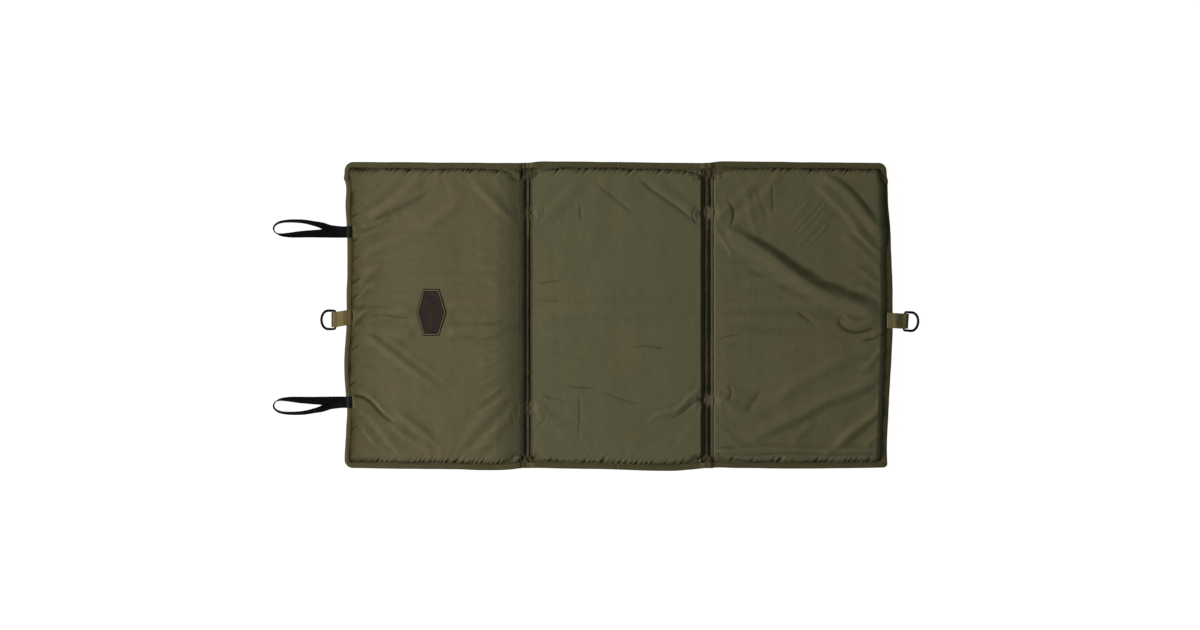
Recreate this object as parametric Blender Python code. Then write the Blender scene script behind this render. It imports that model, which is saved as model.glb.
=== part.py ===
"""Tri-fold unhooking mat: three foam pads between two fabric covers, joined by two
stitched folds, bound all round with tape.  A folded webbing tab holds a D-ring at
each end, and two elastic loops are sewn to the left edge.

Metres, +Z up.  The origin is the middle of the middle panel's underside.
+X runs along the mat to the right, +Y runs across it to the rear long edge."""

import math

import bmesh
import bpy
from mathutils import Matrix, Vector

# ------------------------------------------------------------------ dimensions
HEIGHT = 0.0200          # padded thickness, floor to face
SEAM_Z = HEIGHT / 2      # height of the seam that joins the two covers
EDGE_L = -0.4490         # outer edge of the tape at the left end
EDGE_R = 0.4500          # the same at the right end's corners
BULGE_R = 0.0080         # how far the right end bows out in its middle
EDGE_Y = 0.2540          # half of the mat's width
CORNER_R = 0.0130        # corner radius of the outline

FOLD_X = 0.1506          # distance of each fold's centre from the middle
WEB = 0.0170             # flat stitched strip of a fold, hinge line to hinge line
WEB_T = 0.0012           # the strip's thickness
WEB_CUT = 0.0004         # the strip starts this far from its hinge line
WALL_CLEAR = 0.0010      # hinge line to the pad's side wall
HINGE_DZ = 0.0020        # the left fold's strip lies this much under the seam's
                         # height and the right fold's this much over it, so that
                         # each panel folds flat on its neighbour
TAPE_CUT = 0.0019        # the tape stops this far from a hinge line

COVER_T = 0.0008         # fabric of a cover
FLANGE_T = 0.0005        # fabric in the seam
GAP = 0.0003             # clear space between neighbouring pieces
SHOULDER_R = 0.0080      # rounding of a pad's edges
WALL_IN = 0.0105         # outline to the pad's side wall
TAPE_T = 0.0008          # binding tape
TAPE_W = 0.0095          # its width on each face

LIP = 0.0004             # what little seam shows at a fold's side
LOOP_W = 0.0190          # elastic: width and thickness
LOOP_T = 0.0016
LOOP_HINGE = 0.0025      # outline to the line about which a loop flexes
WEBBING_W = 0.0254       # tab webbing: width and thickness
WEBBING_T = 0.0014
TAB_HINGE = 0.0025
WIRE_R = 0.0019          # D-ring wire
RING_W = 0.0344          # D-ring: outer width across, and bar to bow, centre lines
RING_D = 0.0233
RING_CORNER = 0.0030
BAR_Z = 0.0042           # height of a ring's bar over the floor
BAR_GAP = 0.0004         # between the bar and the webbing round it

REAR_LOOP_Y = 0.1393
FRONT_LOOP_Y = -0.1431
BADGE = (-0.3080, 0.0060)    # centre of the badge on the left panel
BADGE_SIZE = (0.0500, 0.0780)

# ------------------------------------------------------------------ clean start
for o in list(bpy.data.objects):
    bpy.data.objects.remove(o, do_unlink=True)


def material(name, rgb, rough, metallic=0.0):
    m = bpy.data.materials.new(name)
    m.use_nodes = True
    p = m.node_tree.nodes["Principled BSDF"]
    p.inputs["Base Color"].default_value = (*rgb, 1.0)
    p.inputs["Roughness"].default_value = rough
    p.inputs["Metallic"].default_value = metallic
    return m


NYLON = material("olive_nylon", (0.105, 0.092, 0.048), 0.55)
BASE = material("base_fabric", (0.060, 0.055, 0.030), 0.70)
TAPE = material("binding_tape", (0.070, 0.060, 0.024), 0.75)
FOAM = material("foam", (0.55, 0.55, 0.52), 0.90)
ELASTIC = material("black_elastic", (0.010, 0.010, 0.011), 0.60)
WEBBING_L = material("tan_webbing", (0.155, 0.125, 0.050), 0.80)
WEBBING_R = material("olive_webbing", (0.085, 0.074, 0.030), 0.80)
STEEL = material("black_steel", (0.012, 0.012, 0.013), 0.30, 0.85)
THREAD = material("thread", (0.030, 0.026, 0.014), 0.70)
RUBBER = material("badge_rubber", (0.028, 0.020, 0.020), 0.60)


# ------------------------------------------------------------------ joint axes
def empty(name, at, parent=None):
    e = bpy.data.objects.new(name, None)
    bpy.context.scene.collection.objects.link(e)
    e.empty_display_size = 0.02
    e["at"] = at
    if parent:
        e.parent = parent
        e.location = Vector(at) - Vector(parent["at"])
    else:
        e.location = at
    return e


HINGE_IN_L = -(FOLD_X - WEB / 2)     # hinge lines of the left fold
HINGE_OUT_L = -(FOLD_X + WEB / 2)
HINGE_IN_R = FOLD_X - WEB / 2
HINGE_OUT_R = FOLD_X + WEB / 2
WEB_Z_L = SEAM_Z - HINGE_DZ
WEB_Z_R = SEAM_Z + HINGE_DZ

TAB_Y_L, TAB_Y_R = -0.0033, -0.0077      # where each tab leaves the edge
BAR_L = (-0.4674, -0.0064, BAR_Z)        # middle of each ring's bar
BAR_R = (0.4776, -0.0086, BAR_Z)
YAW_L, YAW_R = 0.0, math.radians(4.0)    # how far each bar turns from +Y


def bulge(y):
    """How far the right end's outline stands out at y."""
    u = (y + 0.004) / (EDGE_Y - 0.02)
    return BULGE_R * max(0.0, 1.0 - u * u) ** 0.8


TAB_EDGE_R = EDGE_R + bulge(TAB_Y_R)
STRAP_Z = SEAM_Z + FLANGE_T + GAP / 2 + GAP + TAPE_T + GAP   # on top of the tape
LOOP_STACK = 2 * LOOP_T + GAP
TAB_STACK = 2 * WEBBING_T + GAP
LOOP_Z = STRAP_Z + LOOP_STACK / 2
TAB_Z = STRAP_Z + TAB_STACK / 2

mat_root = empty("mat", (0, 0, 0))
left_inner = empty("axis_left_fold_inner", (HINGE_IN_L, 0, WEB_Z_L), mat_root)
left_outer = empty("axis_left_fold_outer", (HINGE_OUT_L, 0, WEB_Z_L), left_inner)
right_inner = empty("axis_right_fold_inner", (HINGE_IN_R, 0, WEB_Z_R), mat_root)
right_outer = empty("axis_right_fold_outer", (HINGE_OUT_R, 0, WEB_Z_R), right_inner)
rear_loop = empty("axis_rear_loop", (EDGE_L - LOOP_HINGE, REAR_LOOP_Y, LOOP_Z), left_outer)
front_loop = empty("axis_front_loop", (EDGE_L - LOOP_HINGE, FRONT_LOOP_Y, LOOP_Z), left_outer)
left_tab = empty("axis_left_tab", (EDGE_L - TAB_HINGE, TAB_Y_L, TAB_Z), left_outer)
right_tab = empty("axis_right_tab", (TAB_EDGE_R + TAB_HINGE, TAB_Y_R, TAB_Z), right_outer)
left_ring = empty("axis_left_ring", BAR_L, left_tab)
right_ring = empty("axis_right_ring", BAR_R, right_tab)


def put(name, bm, mat, parent, smooth=True):
    """Turns a bmesh in world coordinates into a named object under its joint's empty."""
    bmesh.ops.recalc_face_normals(bm, faces=bm.faces)
    if bm.calc_volume(signed=True) < 0:
        bmesh.ops.reverse_faces(bm, faces=bm.faces)
    bmesh.ops.triangulate(bm, faces=bm.faces)
    bm.transform(Matrix.Translation(-Vector(parent["at"])))
    me = bpy.data.meshes.new(name)
    bm.to_mesh(me)
    bm.free()
    me.materials.append(mat)
    if smooth:
        me.shade_smooth()
        me.set_sharp_from_angle(angle=math.radians(35))
    ob = bpy.data.objects.new(name, me)
    ob.parent = parent
    bpy.context.scene.collection.objects.link(ob)
    return ob


def chain(rings, closed=False):
    """A closed solid through a row of rings with equal numbers of points.  The first
    and last ring are capped, or joined to each other when closed."""
    bm = bmesh.new()
    rows = [[bm.verts.new(p) for p in ring] for ring in rings]
    n = len(rows[0])
    pairs = list(zip(rows, rows[1:]))
    if closed:
        pairs.append((rows[-1], rows[0]))
    for a, b in pairs:
        for i in range(n):
            j = (i + 1) % n
            bm.faces.new((a[i], a[j], b[j], b[i]))
    if not closed:
        bm.faces.new(rows[0][::-1])
        bm.faces.new(rows[-1])
    return bm


# ------------------------------------------------------------------ panels
def arc(cx, cy, r, a0, a1, n):
    return [
        (cx + r * math.cos(a0 + (a1 - a0) * k / n), cy + r * math.sin(a0 + (a1 - a0) * k / n))
        for k in range(n + 1)
    ]


def outline(x0, x1, y, r_left, r_right, bow=False):
    """Counter-clockwise rounded rectangle; the right side may bow outwards."""
    right, left = max(r_right, 1e-4), max(r_left, 1e-4)
    n = 4
    side = 10
    pts = arc(x1 - right, y - right, right, 0, math.pi / 2, n)
    pts += arc(x0 + left, y - left, left, math.pi / 2, math.pi, n)
    pts += arc(x0 + left, -y + left, left, math.pi, 1.5 * math.pi, n)
    pts += arc(x1 - right, -y + right, right, -math.pi / 2, 0, n)
    lo, hi = -y + right, y - right
    pts += [(x1, lo + (hi - lo) * k / side) for k in range(1, side)]
    if bow:
        mid = (x0 + x1) / 2
        pts = [(px + bulge(py) * max(0.0, (px - mid) / (x1 - mid)) ** 3, py) for px, py in pts]
    return pts


class Panel:
    """Outline sizes of one panel.  out_l and out_r say which ends are outer edges."""

    def __init__(self, x0, x1, out_l, out_r):
        self.x0, self.x1, self.out_l, self.out_r = x0, x1, out_l, out_r

    def at(self, inset, z, fold_inset=None):
        """The panel's outline moved in by inset on its outer sides, and by
        fold_inset on the sides that face a fold."""
        fold = inset if fold_inset is None else fold_inset
        x0 = self.x0 + (inset if self.out_l else fold)
        x1 = self.x1 - (inset if self.out_r else fold)
        r_out = max(CORNER_R - inset, 0.0) if inset < WALL_IN else 0.0
        wall = inset >= WALL_IN - 1e-9
        grow = 0.010 - max(0.0, inset - WALL_IN) * 0.6
        r_l = (grow if wall else r_out) if self.out_l else (grow if wall else 0.0)
        r_r = (grow if wall else r_out) if self.out_r else (grow if wall else 0.0)
        pts = outline(x0, x1, EDGE_Y - inset, r_l, r_r, bow=self.out_r)
        return [(px, py, z) for px, py in pts]

    def wall(self, more, z):
        """A ring of the padded part: the side wall's outline, moved in by more."""
        return self.at(WALL_IN + more, z, WALL_CLEAR + more)


# the fold sides of a panel are given at the hinge line; the outer ones at the edge
LEFT = Panel(EDGE_L, HINGE_OUT_L, True, False)
MIDDLE = Panel(HINGE_IN_L, HINGE_IN_R, False, False)
RIGHT = Panel(HINGE_OUT_R, EDGE_R, False, True)

STEPS = 5


def shoulder(panel, more, top, r):
    """Rings of a rounded edge, from the wall's top to the flat face at height top."""
    out = []
    for k in range(STEPS + 1):
        a = math.pi / 2 * k / STEPS
        out.append(panel.wall(more + r * (1 - math.cos(a)), top - r + r * math.sin(a)))
    return out


def cover(panel, name, mat, parent, flip=False):
    """Half of the mat's skin over one pad, open towards the seam, with the fabric
    that runs out into the seam under the tape."""
    lo = SEAM_Z + GAP / 2
    hi = lo + FLANGE_T
    edge = TAPE_T + GAP
    inner = shoulder(panel, COVER_T, HEIGHT - COVER_T, SHOULDER_R - COVER_T)
    outer = shoulder(panel, 0.0, HEIGHT, SHOULDER_R)
    rings = inner[::-1]
    rings += [panel.wall(COVER_T, lo)]
    rings += [panel.at(edge, lo, WALL_CLEAR - LIP), panel.at(edge, hi, WALL_CLEAR - LIP)]
    rings += [panel.wall(0.0, hi)]
    rings += outer
    if flip:
        rings = [[(x, y, HEIGHT - z) for x, y, z in ring] for ring in rings]
    return put(name, chain(rings), mat, parent)


def foam(panel, name, parent):
    t = COVER_T + GAP
    up = shoulder(panel, t, HEIGHT - t, SHOULDER_R - t)
    down = [[(x, y, HEIGHT - z) for x, y, z in ring] for ring in up]
    return put(name, chain(down[::-1] + up), FOAM, parent)


for panel, side, parent in (
    (LEFT, "left", left_outer),
    (MIDDLE, "middle", mat_root),
    (RIGHT, "right", right_outer),
):
    foam(panel, "foam_pad_" + side, parent)
    cover(panel, "top_cover_" + side, NYLON, parent)
    cover(panel, "base_cover_" + side, BASE, parent, flip=True)


# ------------------------------------------------------------------ binding tape
def tape_section(z):
    """U-shaped section of the tape as (inset, height), folded over the seam's edge."""
    half = FLANGE_T + GAP / 2 + GAP
    out = half + TAPE_T
    soft = 0.0006
    return [
        (TAPE_W, z + half),
        (TAPE_W, z + out),
        (soft, z + out),
        (0.0, z + out - soft),
        (0.0, z - out + soft),
        (soft, z - out),
        (TAPE_W, z - out),
        (TAPE_W, z - half),
        (TAPE_T, z - half),
        (TAPE_T, z + half),
    ]


def tape(name, path, z, parent):
    """path is a list of (x, y, inward x, inward y, stretch); stretch lengthens the
    inward step in a corner's slant, and is 1 elsewhere."""
    rings = [
        [(px + nx * d, py + ny * d, h) for d, h in tape_section(z)] for px, py, nx, ny in path
    ]
    return put(name, chain(rings), TAPE, parent)


def end_path(sign):
    """The tape's outer line round an outer panel, from the rear end at the fold to
    the front end at the fold.  sign is -1 for the left panel and +1 for the right."""
    x_fold = sign * (FOLD_X + WEB / 2 + TAPE_CUT)
    x_end = EDGE_L if sign < 0 else EDGE_R
    r, n = CORNER_R, 6
    pts = [(x_fold, EDGE_Y, 0.0, -1.0)]
    cx = x_end - sign * r
    for k in range(n + 1):
        a = math.pi / 2 * k / n
        s, c = math.sin(a), math.cos(a)
        pts.append((cx + sign * r * s, EDGE_Y - r + r * c, -sign * s, -c))
    if sign > 0:
        m = 12
        for k in range(1, m):
            y = (EDGE_Y - r) * (1 - 2 * k / m)
            pts.append((x_end + bulge(y), y, -1.0, 0.0))
    for k in range(n + 1):
        a = math.pi / 2 * (1 - k / n)
        s, c = math.sin(a), math.cos(a)
        pts.append((cx + sign * r * s, -EDGE_Y + r - r * c, -sign * s, c))
    pts.append((x_fold, -EDGE_Y, 0.0, 1.0))
    return pts


tape("binding_left", end_path(-1), SEAM_Z, left_outer)
tape("binding_right", end_path(1), SEAM_Z, right_outer)
for where, s in (("rear", 1), ("front", -1)):
    y, n = s * EDGE_Y, -s
    a, b = HINGE_IN_L + TAPE_CUT, HINGE_IN_R - TAPE_CUT
    tape("binding_middle_" + where, [(a, y, 0, n), (b, y, 0, n)], SEAM_Z, mat_root)
    a, b = HINGE_OUT_L + TAPE_CUT, HINGE_IN_L - TAPE_CUT
    tape("binding_left_fold_" + where, [(a, y, 0, n), (b, y, 0, n)], WEB_Z_L, left_inner)
    a, b = HINGE_IN_R + TAPE_CUT, HINGE_OUT_R - TAPE_CUT
    tape("binding_right_fold_" + where, [(a, y, 0, n), (b, y, 0, n)], WEB_Z_R, right_inner)


# ------------------------------------------------------------------ small blocks
def block(name, x0, x1, y0, y1, z0, z1, mat, parent, r=0.0, skew=0.0):
    """A slab with rounded upright corners and softened edges.  skew slides it in y
    along x, for pieces sewn on at a slant."""
    n = 3
    r = min(r, (x1 - x0) / 2.01, (y1 - y0) / 2.01) or 1e-4
    cx, cy = (x0 + x1) / 2, (y0 + y1) / 2
    ease = min(0.0002, (z1 - z0) / 4)

    def ring(inset, z):
        q = max(r - inset, 5e-5)
        a, b, c, d = x0 + inset, x1 - inset, y0 + inset, y1 - inset
        pts = arc(b - q, d - q, q, 0, math.pi / 2, n)
        pts += arc(a + q, d - q, q, math.pi / 2, math.pi, n)
        pts += arc(a + q, c + q, q, math.pi, 1.5 * math.pi, n)
        pts += arc(b - q, c + q, q, -math.pi / 2, 0, n)
        return [(px, py + skew * (px - cx), z) for px, py in pts]

    rings = [ring(ease, z0), ring(0, z0 + ease), ring(0, z1 - ease), ring(ease, z1)]
    return put(name, chain(rings), mat, parent)


# ------------------------------------------------------------------ folds
for side, z, parent, tacks in (
    ("left", WEB_Z_L, left_inner, (0.171, -0.153)),
    ("right", WEB_Z_R, right_inner, (0.171, -0.140)),
):
    s = -1 if side == "left" else 1
    a, b = sorted((s * (FOLD_X - WEB / 2 + WEB_CUT), s * (FOLD_X + WEB / 2 - WEB_CUT)))
    edge = EDGE_Y - TAPE_T - GAP
    block("fold_web_" + side, a, b, -edge, edge, z - WEB_T / 2, z + WEB_T / 2, NYLON, parent)
    for where, ty in zip(("rear", "front"), tacks):
        top = z + WEB_T / 2 + GAP
        block(
            "fold_tack_" + side + "_" + where,
            s * FOLD_X - 0.0028, s * FOLD_X + 0.0028, ty - 0.0012, ty + 0.0012,
            top, top + 0.0008, THREAD, parent, r=0.001,
        )


# ------------------------------------------------------------------ straps
def catmull(keys, per):
    """Smooth curve through keyed rows of numbers, per steps to each span."""
    rows = [keys[0]] + list(keys) + [keys[-1]]
    out = []
    for i in range(1, len(rows) - 2):
        p0, p1, p2, p3 = rows[i - 1], rows[i], rows[i + 1], rows[i + 2]
        for k in range(per):
            t = k / per
            out.append([
                0.5 * (2 * b + (c - a) * t + (2 * a - 5 * b + 4 * c - d) * t * t
                       + (3 * b - a - 3 * c + d) * t ** 3)
                for a, b, c, d in zip(p0, p1, p2, p3)
            ])
    out.append(list(rows[-2]))
    return out


def strap(centres, widths, w, t):
    """A flat strap: a w by t section carried along the centre line, its wide side
    along each station's width vector."""
    rings = []
    for i, (c, u) in enumerate(zip(centres, widths)):
        a, b = centres[max(i - 1, 0)], centres[min(i + 1, len(centres) - 1)]
        tangent = (b - a).normalized()
        u = u.normalized()
        n = tangent.cross(u).normalized()
        rings.append([
            c + u * (w / 2) + n * (t / 2), c - u * (w / 2) + n * (t / 2),
            c - u * (w / 2) - n * (t / 2), c + u * (w / 2) - n * (t / 2),
        ])
    return chain(rings)


# Elastic loop: distance out from its flex line, distance from its seam's middle
# towards the mat's nearer long edge, height, and the strap's twist in degrees, in
# millimetres.  Both ends lie flat on each other at the seam; the strap stands on
# edge at the far end.
LOOP_KEYS = [
    (0.0, 0.0, 14.70, 0), (4.0, 0.1, 14.80, 2), (11.2, 1.1, 14.40, 16),
    (24.5, 4.8, 13.20, 42), (37.8, 10.9, 11.40, 61), (52.8, 14.6, 10.30, 72),
    (69.4, 17.7, 9.90, 77), (90.9, 18.5, 9.90, 83), (105.9, 16.9, 9.90, 88),
    (114.5, 12.8, 9.90, 90), (118.3, 6.4, 9.90, 90), (115.2, -0.6, 9.90, 90),
    (105.9, -4.4, 9.90, 96), (90.9, -4.8, 9.90, 110), (74.3, -3.7, 9.90, 121),
    (57.7, -2.9, 9.90, 129), (37.8, -2.2, 9.90, 137), (24.5, -1.1, 10.40, 151),
    (11.2, -0.3, 11.60, 167), (4.0, 0.0, 12.50, 178), (0.0, 0.0, 12.80, 180),
]


def elastic_loop(name, parent, yc, s):
    """s is +1 for the rear loop and -1 for its mirror image at the front."""
    centres, widths = [], []
    rows = catmull(LOOP_KEYS, 3)
    for out, side, z, twist in rows:
        centres.append(Vector((EDGE_L - LOOP_HINGE - out / 1000, yc + s * side / 1000, z / 1000)))
    for i, row in enumerate(rows):
        a, b = centres[max(i - 1, 0)], centres[min(i + 1, len(centres) - 1)]
        tangent = (b - a).normalized()
        h = Vector((0, 0, 1)).cross(tangent).normalized()
        v = tangent.cross(h)
        turn = math.radians(row[3])
        widths.append(h * math.cos(turn) * s + v * math.sin(turn) * s
                      if s > 0 else h * math.cos(turn) - v * math.sin(turn))
    return put(name, strap(centres, widths, LOOP_W, LOOP_T), ELASTIC, parent)


for where, parent, yc, s in (
    ("rear", rear_loop, REAR_LOOP_Y, 1), ("front", front_loop, FRONT_LOOP_Y, -1),
):
    elastic_loop("elastic_loop_" + where, parent, yc, s)
    # the sewn ends of the strap, flat on the tape, and the bar tack over them
    block(
        "loop_end_" + where, EDGE_L - 0.0004, EDGE_L + 0.0080, yc - LOOP_W / 2, yc + LOOP_W / 2,
        STRAP_Z, STRAP_Z + LOOP_STACK, ELASTIC, left_outer, r=0.0006,
    )
    top = STRAP_Z + LOOP_STACK + GAP
    block(
        "loop_tack_" + where, EDGE_L + 0.0018, EDGE_L + 0.0062, yc - 0.0085, yc + 0.0085,
        top, top + 0.0006, THREAD, left_outer, r=0.0012,
    )


# ------------------------------------------------------------------ webbing tabs
def tab(name, mat, parent, out, hinge_x, y0, y1, bar, yaw):
    """Webbing folded round the ring's bar, both ends together at the seam.
    out is -1 at the left end and +1 at the right."""
    reach = abs(bar[0] - hinge_x)
    drop = TAB_Z - bar[2]
    near, eye = TAB_STACK / 2 - WEBBING_T / 2, WIRE_R + BAR_GAP + WEBBING_T / 2
    spread = 0.0066
    p = [Vector((0, 0)), Vector((reach * 0.36, 0)), Vector((reach * 0.62, -drop * 0.72)),
         Vector((reach, -drop))]
    mid = []
    n = 14
    for k in range(n + 1):
        t = k / n
        q = (p[0] * (1 - t) ** 3 + p[1] * 3 * t * (1 - t) ** 2
             + p[2] * 3 * t * t * (1 - t) + p[3] * t ** 3)
        d = (p[1] - p[0]) * (1 - t) ** 2 + (p[2] - p[1]) * 2 * t * (1 - t) + (p[3] - p[2]) * t * t
        mid.append((q, d.normalized()))
    upper, lower = [], []
    for q, d in mid:
        back = (p[3] - q).length
        u = min(1.0, back / spread)
        off = near + (eye - near) * (1 - u * u * (3 - 2 * u))
        normal = Vector((-d.y, d.x))
        upper.append(q + normal * off)
        lower.append(q - normal * off)
    d = mid[-1][1]
    normal = Vector((-d.y, d.x))
    turn = []
    m = 10
    for k in range(1, m):
        a = math.pi * k / m
        turn.append(p[3] + normal * (eye * math.cos(a)) + d * (eye * math.sin(a)))
    line = upper + turn + lower[::-1]
    centres, widths = [], []
    for q in line:
        f = min(1.0, max(0.0, q.x / reach))
        yc = y0 + (y1 - y0) * f
        centres.append(Vector((hinge_x + out * q.x, yc, TAB_Z + q.y)))
        widths.append(Vector((math.sin(yaw * f), math.cos(yaw * f), 0)))
    return put(name, strap(centres, widths, WEBBING_W, WEBBING_T), mat, parent)


tab("webbing_tab_left", WEBBING_L, left_tab, -1, EDGE_L - TAB_HINGE, TAB_Y_L, -0.0060, BAR_L, YAW_L)
tab("webbing_tab_right", WEBBING_R, right_tab, 1, TAB_EDGE_R + TAB_HINGE, TAB_Y_R, BAR_R[1], BAR_R, YAW_R)

for side, x_in, x_out, y, mat, parent, skew in (
    ("left", EDGE_L + 0.0075, EDGE_L - 0.0006, TAB_Y_L + 0.0006, WEBBING_L, left_outer, 0.10),
    ("right", TAB_EDGE_R - 0.0084, TAB_EDGE_R + 0.0006, TAB_Y_R + 0.0002, WEBBING_R, right_outer, -0.03),
):
    a, b = sorted((x_in, x_out))
    block(
        "tab_end_" + side, a, b, y - WEBBING_W / 2, y + WEBBING_W / 2,
        STRAP_Z, STRAP_Z + TAB_STACK, mat, parent, r=0.0005, skew=skew,
    )
    top = STRAP_Z + TAB_STACK + GAP
    block(
        "tab_stitch_" + side, a + 0.0022, b - 0.0022, y - 0.0110, y + 0.0110,
        top, top + 0.0005, THREAD, parent, r=0.0008, skew=skew,
    )


# ------------------------------------------------------------------ D-rings
def d_ring(name, parent, out, bar, yaw):
    """Round wire bent to a D: a straight bar in the tab, two short sides and a bow."""
    half, c = RING_W / 2 - WIRE_R, RING_CORNER
    straight = 0.0120
    line = [(0.0, -half + c), (0.0, 0.0), (0.0, half - c)]
    for k in range(1, 6):
        a = math.pi / 2 * k / 5
        line.append((c - c * math.cos(a), half - c + c * math.sin(a)))
    line.append((straight, half))
    m = 18
    for k in range(1, m):
        a = math.pi * k / m
        line.append((straight + (RING_D - straight) * math.sin(a), half * math.cos(a)))
    line.append((straight, -half))
    for k in range(0, 5):
        a = math.pi / 2 * (1 - k / 5)
        line.append((c - c * math.cos(a), -half + c - c * math.sin(a)))
    tilt = math.asin((bar[2] - WIRE_R - 0.00005) / RING_D)
    ct, st, cy, sy = math.cos(tilt), math.sin(tilt), math.cos(yaw), math.sin(yaw)
    pts = []
    for s, y in line:
        x = out * s * ct
        # the bar turns with its tab, so the whole ring turns about the vertical
        pts.append(Vector((bar[0] + x * cy + y * sy, bar[1] + y * cy - x * sy, bar[2] - s * st)))
    up = Vector((out * st * cy, -out * st * sy, ct))
    sides = 10
    rings = []
    for i, p in enumerate(pts):
        t = (pts[(i + 1) % len(pts)] - pts[i - 1]).normalized()
        side = t.cross(up).normalized()
        rings.append([
            p + (side * math.cos(2 * math.pi * k / sides) + up * math.sin(2 * math.pi * k / sides)) * WIRE_R
            for k in range(sides)
        ])
    return put(name, chain(rings, closed=True), STEEL, parent)


d_ring("d_ring_left", left_ring, -1, BAR_L, YAW_L)
d_ring("d_ring_right", right_ring, 1, BAR_R, YAW_R)


# ------------------------------------------------------------------ badge
def hexagon(z, inset):
    """Elongated six-sided outline with a point at each side."""
    w, h, flat = BADGE_SIZE[0] / 2 - inset, BADGE_SIZE[1] / 2 - inset, 0.0130 - inset * 0.5
    pts = [(w, 0), (flat, h), (-flat, h), (-w, 0), (-flat, -h), (flat, -h)]
    return [(BADGE[0] + x, BADGE[1] + y, z) for x, y in pts]


z = HEIGHT + GAP
put(
    "badge_patch",
    chain([hexagon(z, 0), hexagon(z + 0.0006, 0), hexagon(z + 0.0009, 0.0008)]),
    RUBBER, left_outer,
)
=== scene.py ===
"""Looks of a tri-fold unhooking mat: quilted nylon pads with their creases and puckers,
bias tape with its stitching, elastic loops, webbing tabs with D-rings, and a plain badge.

Metres, +Z up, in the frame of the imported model."""

import math

import bpy
import numpy as np
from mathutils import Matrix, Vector


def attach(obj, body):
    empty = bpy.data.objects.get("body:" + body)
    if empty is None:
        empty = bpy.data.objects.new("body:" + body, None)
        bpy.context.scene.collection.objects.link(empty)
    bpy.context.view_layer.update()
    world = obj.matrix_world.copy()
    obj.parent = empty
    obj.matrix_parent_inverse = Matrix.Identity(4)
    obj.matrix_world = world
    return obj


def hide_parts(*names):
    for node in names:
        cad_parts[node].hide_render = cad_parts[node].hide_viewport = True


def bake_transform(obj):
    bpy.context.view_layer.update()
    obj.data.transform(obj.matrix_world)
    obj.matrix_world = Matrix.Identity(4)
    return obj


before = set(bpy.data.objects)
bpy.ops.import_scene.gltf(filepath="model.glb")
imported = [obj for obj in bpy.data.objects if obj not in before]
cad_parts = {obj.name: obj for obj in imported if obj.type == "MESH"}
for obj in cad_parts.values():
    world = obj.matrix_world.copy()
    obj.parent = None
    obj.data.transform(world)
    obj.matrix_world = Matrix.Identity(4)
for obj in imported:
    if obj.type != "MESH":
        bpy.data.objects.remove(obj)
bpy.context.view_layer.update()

# ------------------------------------------------------------------ the model's sizes
SEAM_Z = 0.010
EDGE_L, EDGE_R, EDGE_Y = -0.4490, 0.4500, 0.2540
CORNER_R = 0.0130
FOLD_X, WEB = 0.1506, 0.0170
HINGE = (-FOLD_X - WEB / 2, -FOLD_X + WEB / 2, FOLD_X - WEB / 2, FOLD_X + WEB / 2)
WALL_CLEAR, WALL_IN = 0.0010, 0.0105
WEB_Z = {"left": 0.008, "right": 0.012}
TACKS = {"left": (0.171, -0.153), "right": (0.171, -0.140)}
LOOP_W, LOOP_T, LOOP_HINGE = 0.0190, 0.0016, 0.0025
WEBBING_W, WEBBING_T, TAB_HINGE = 0.0254, 0.0014, 0.0025
WIRE_R, RING_W, RING_D, RING_CORNER = 0.0019, 0.0344, 0.0233, 0.0030
BAR_Z, BAR_GAP = 0.0042, 0.0004
REAR_LOOP_Y, FRONT_LOOP_Y = 0.1393, -0.1431
BADGE, BADGE_SIZE = (-0.3080, 0.0060), (0.0500, 0.0780)
TAB_Y_L, TAB_Y_R = -0.0033, -0.0077
BAR_L, BAR_R = (-0.4674, -0.0064, BAR_Z), (0.4776, -0.0086, BAR_Z)
YAW_L, YAW_R = 0.0, math.radians(4.0)
STRAP_Z = 0.01205
MM = 0.001


def bulge(y):
    """How far the right end's outline stands out at y, past its straight line."""
    py = 316.0 - np.asarray(y, float) / 0.00166
    px = np.interp(py, RIGHT_PY, RIGHT_PX) + 0.3 + 0.6 * np.exp(-(((py - 424) / 26.0) ** 2))
    return (px - 887.83 - 0.55 * np.exp(-(((py - 256) / 24.0) ** 2))) * 0.00166


def middle_right(y):
    """One half way down the right end, where the tape is wider and the pad narrower."""
    return np.exp(-(((316.0 - np.asarray(y, float) / 0.00166 - 318) / 70.0) ** 2))


def left_bow(y):
    """How far in the left end's outline lies at y, past its straight line."""
    py = 316.0 - np.asarray(y, float) / 0.00166
    return (np.interp(py, LEFT_PY, LEFT_PX) - 346.27) * 0.00166


def sampled(knots, n=400):
    """A smooth curve through (place, value) knots, as two arrays for np.interp."""
    k = np.array(knots, float)
    t = np.linspace(k[0, 0], k[-1, 0], n)
    m = np.gradient(k[:, 1], k[:, 0])
    i = np.clip(np.searchsorted(k[:, 0], t) - 1, 0, len(k) - 2)
    h = k[i + 1, 0] - k[i, 0]
    u = (t - k[i, 0]) / h
    v = ((2 * u ** 3 - 3 * u ** 2 + 1) * k[i, 1] + (u ** 3 - 2 * u ** 2 + u) * h * m[i]
         + (3 * u ** 2 - 2 * u ** 3) * k[i + 1, 1] + (u ** 3 - u ** 2) * h * m[i + 1])
    return t, v


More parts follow.
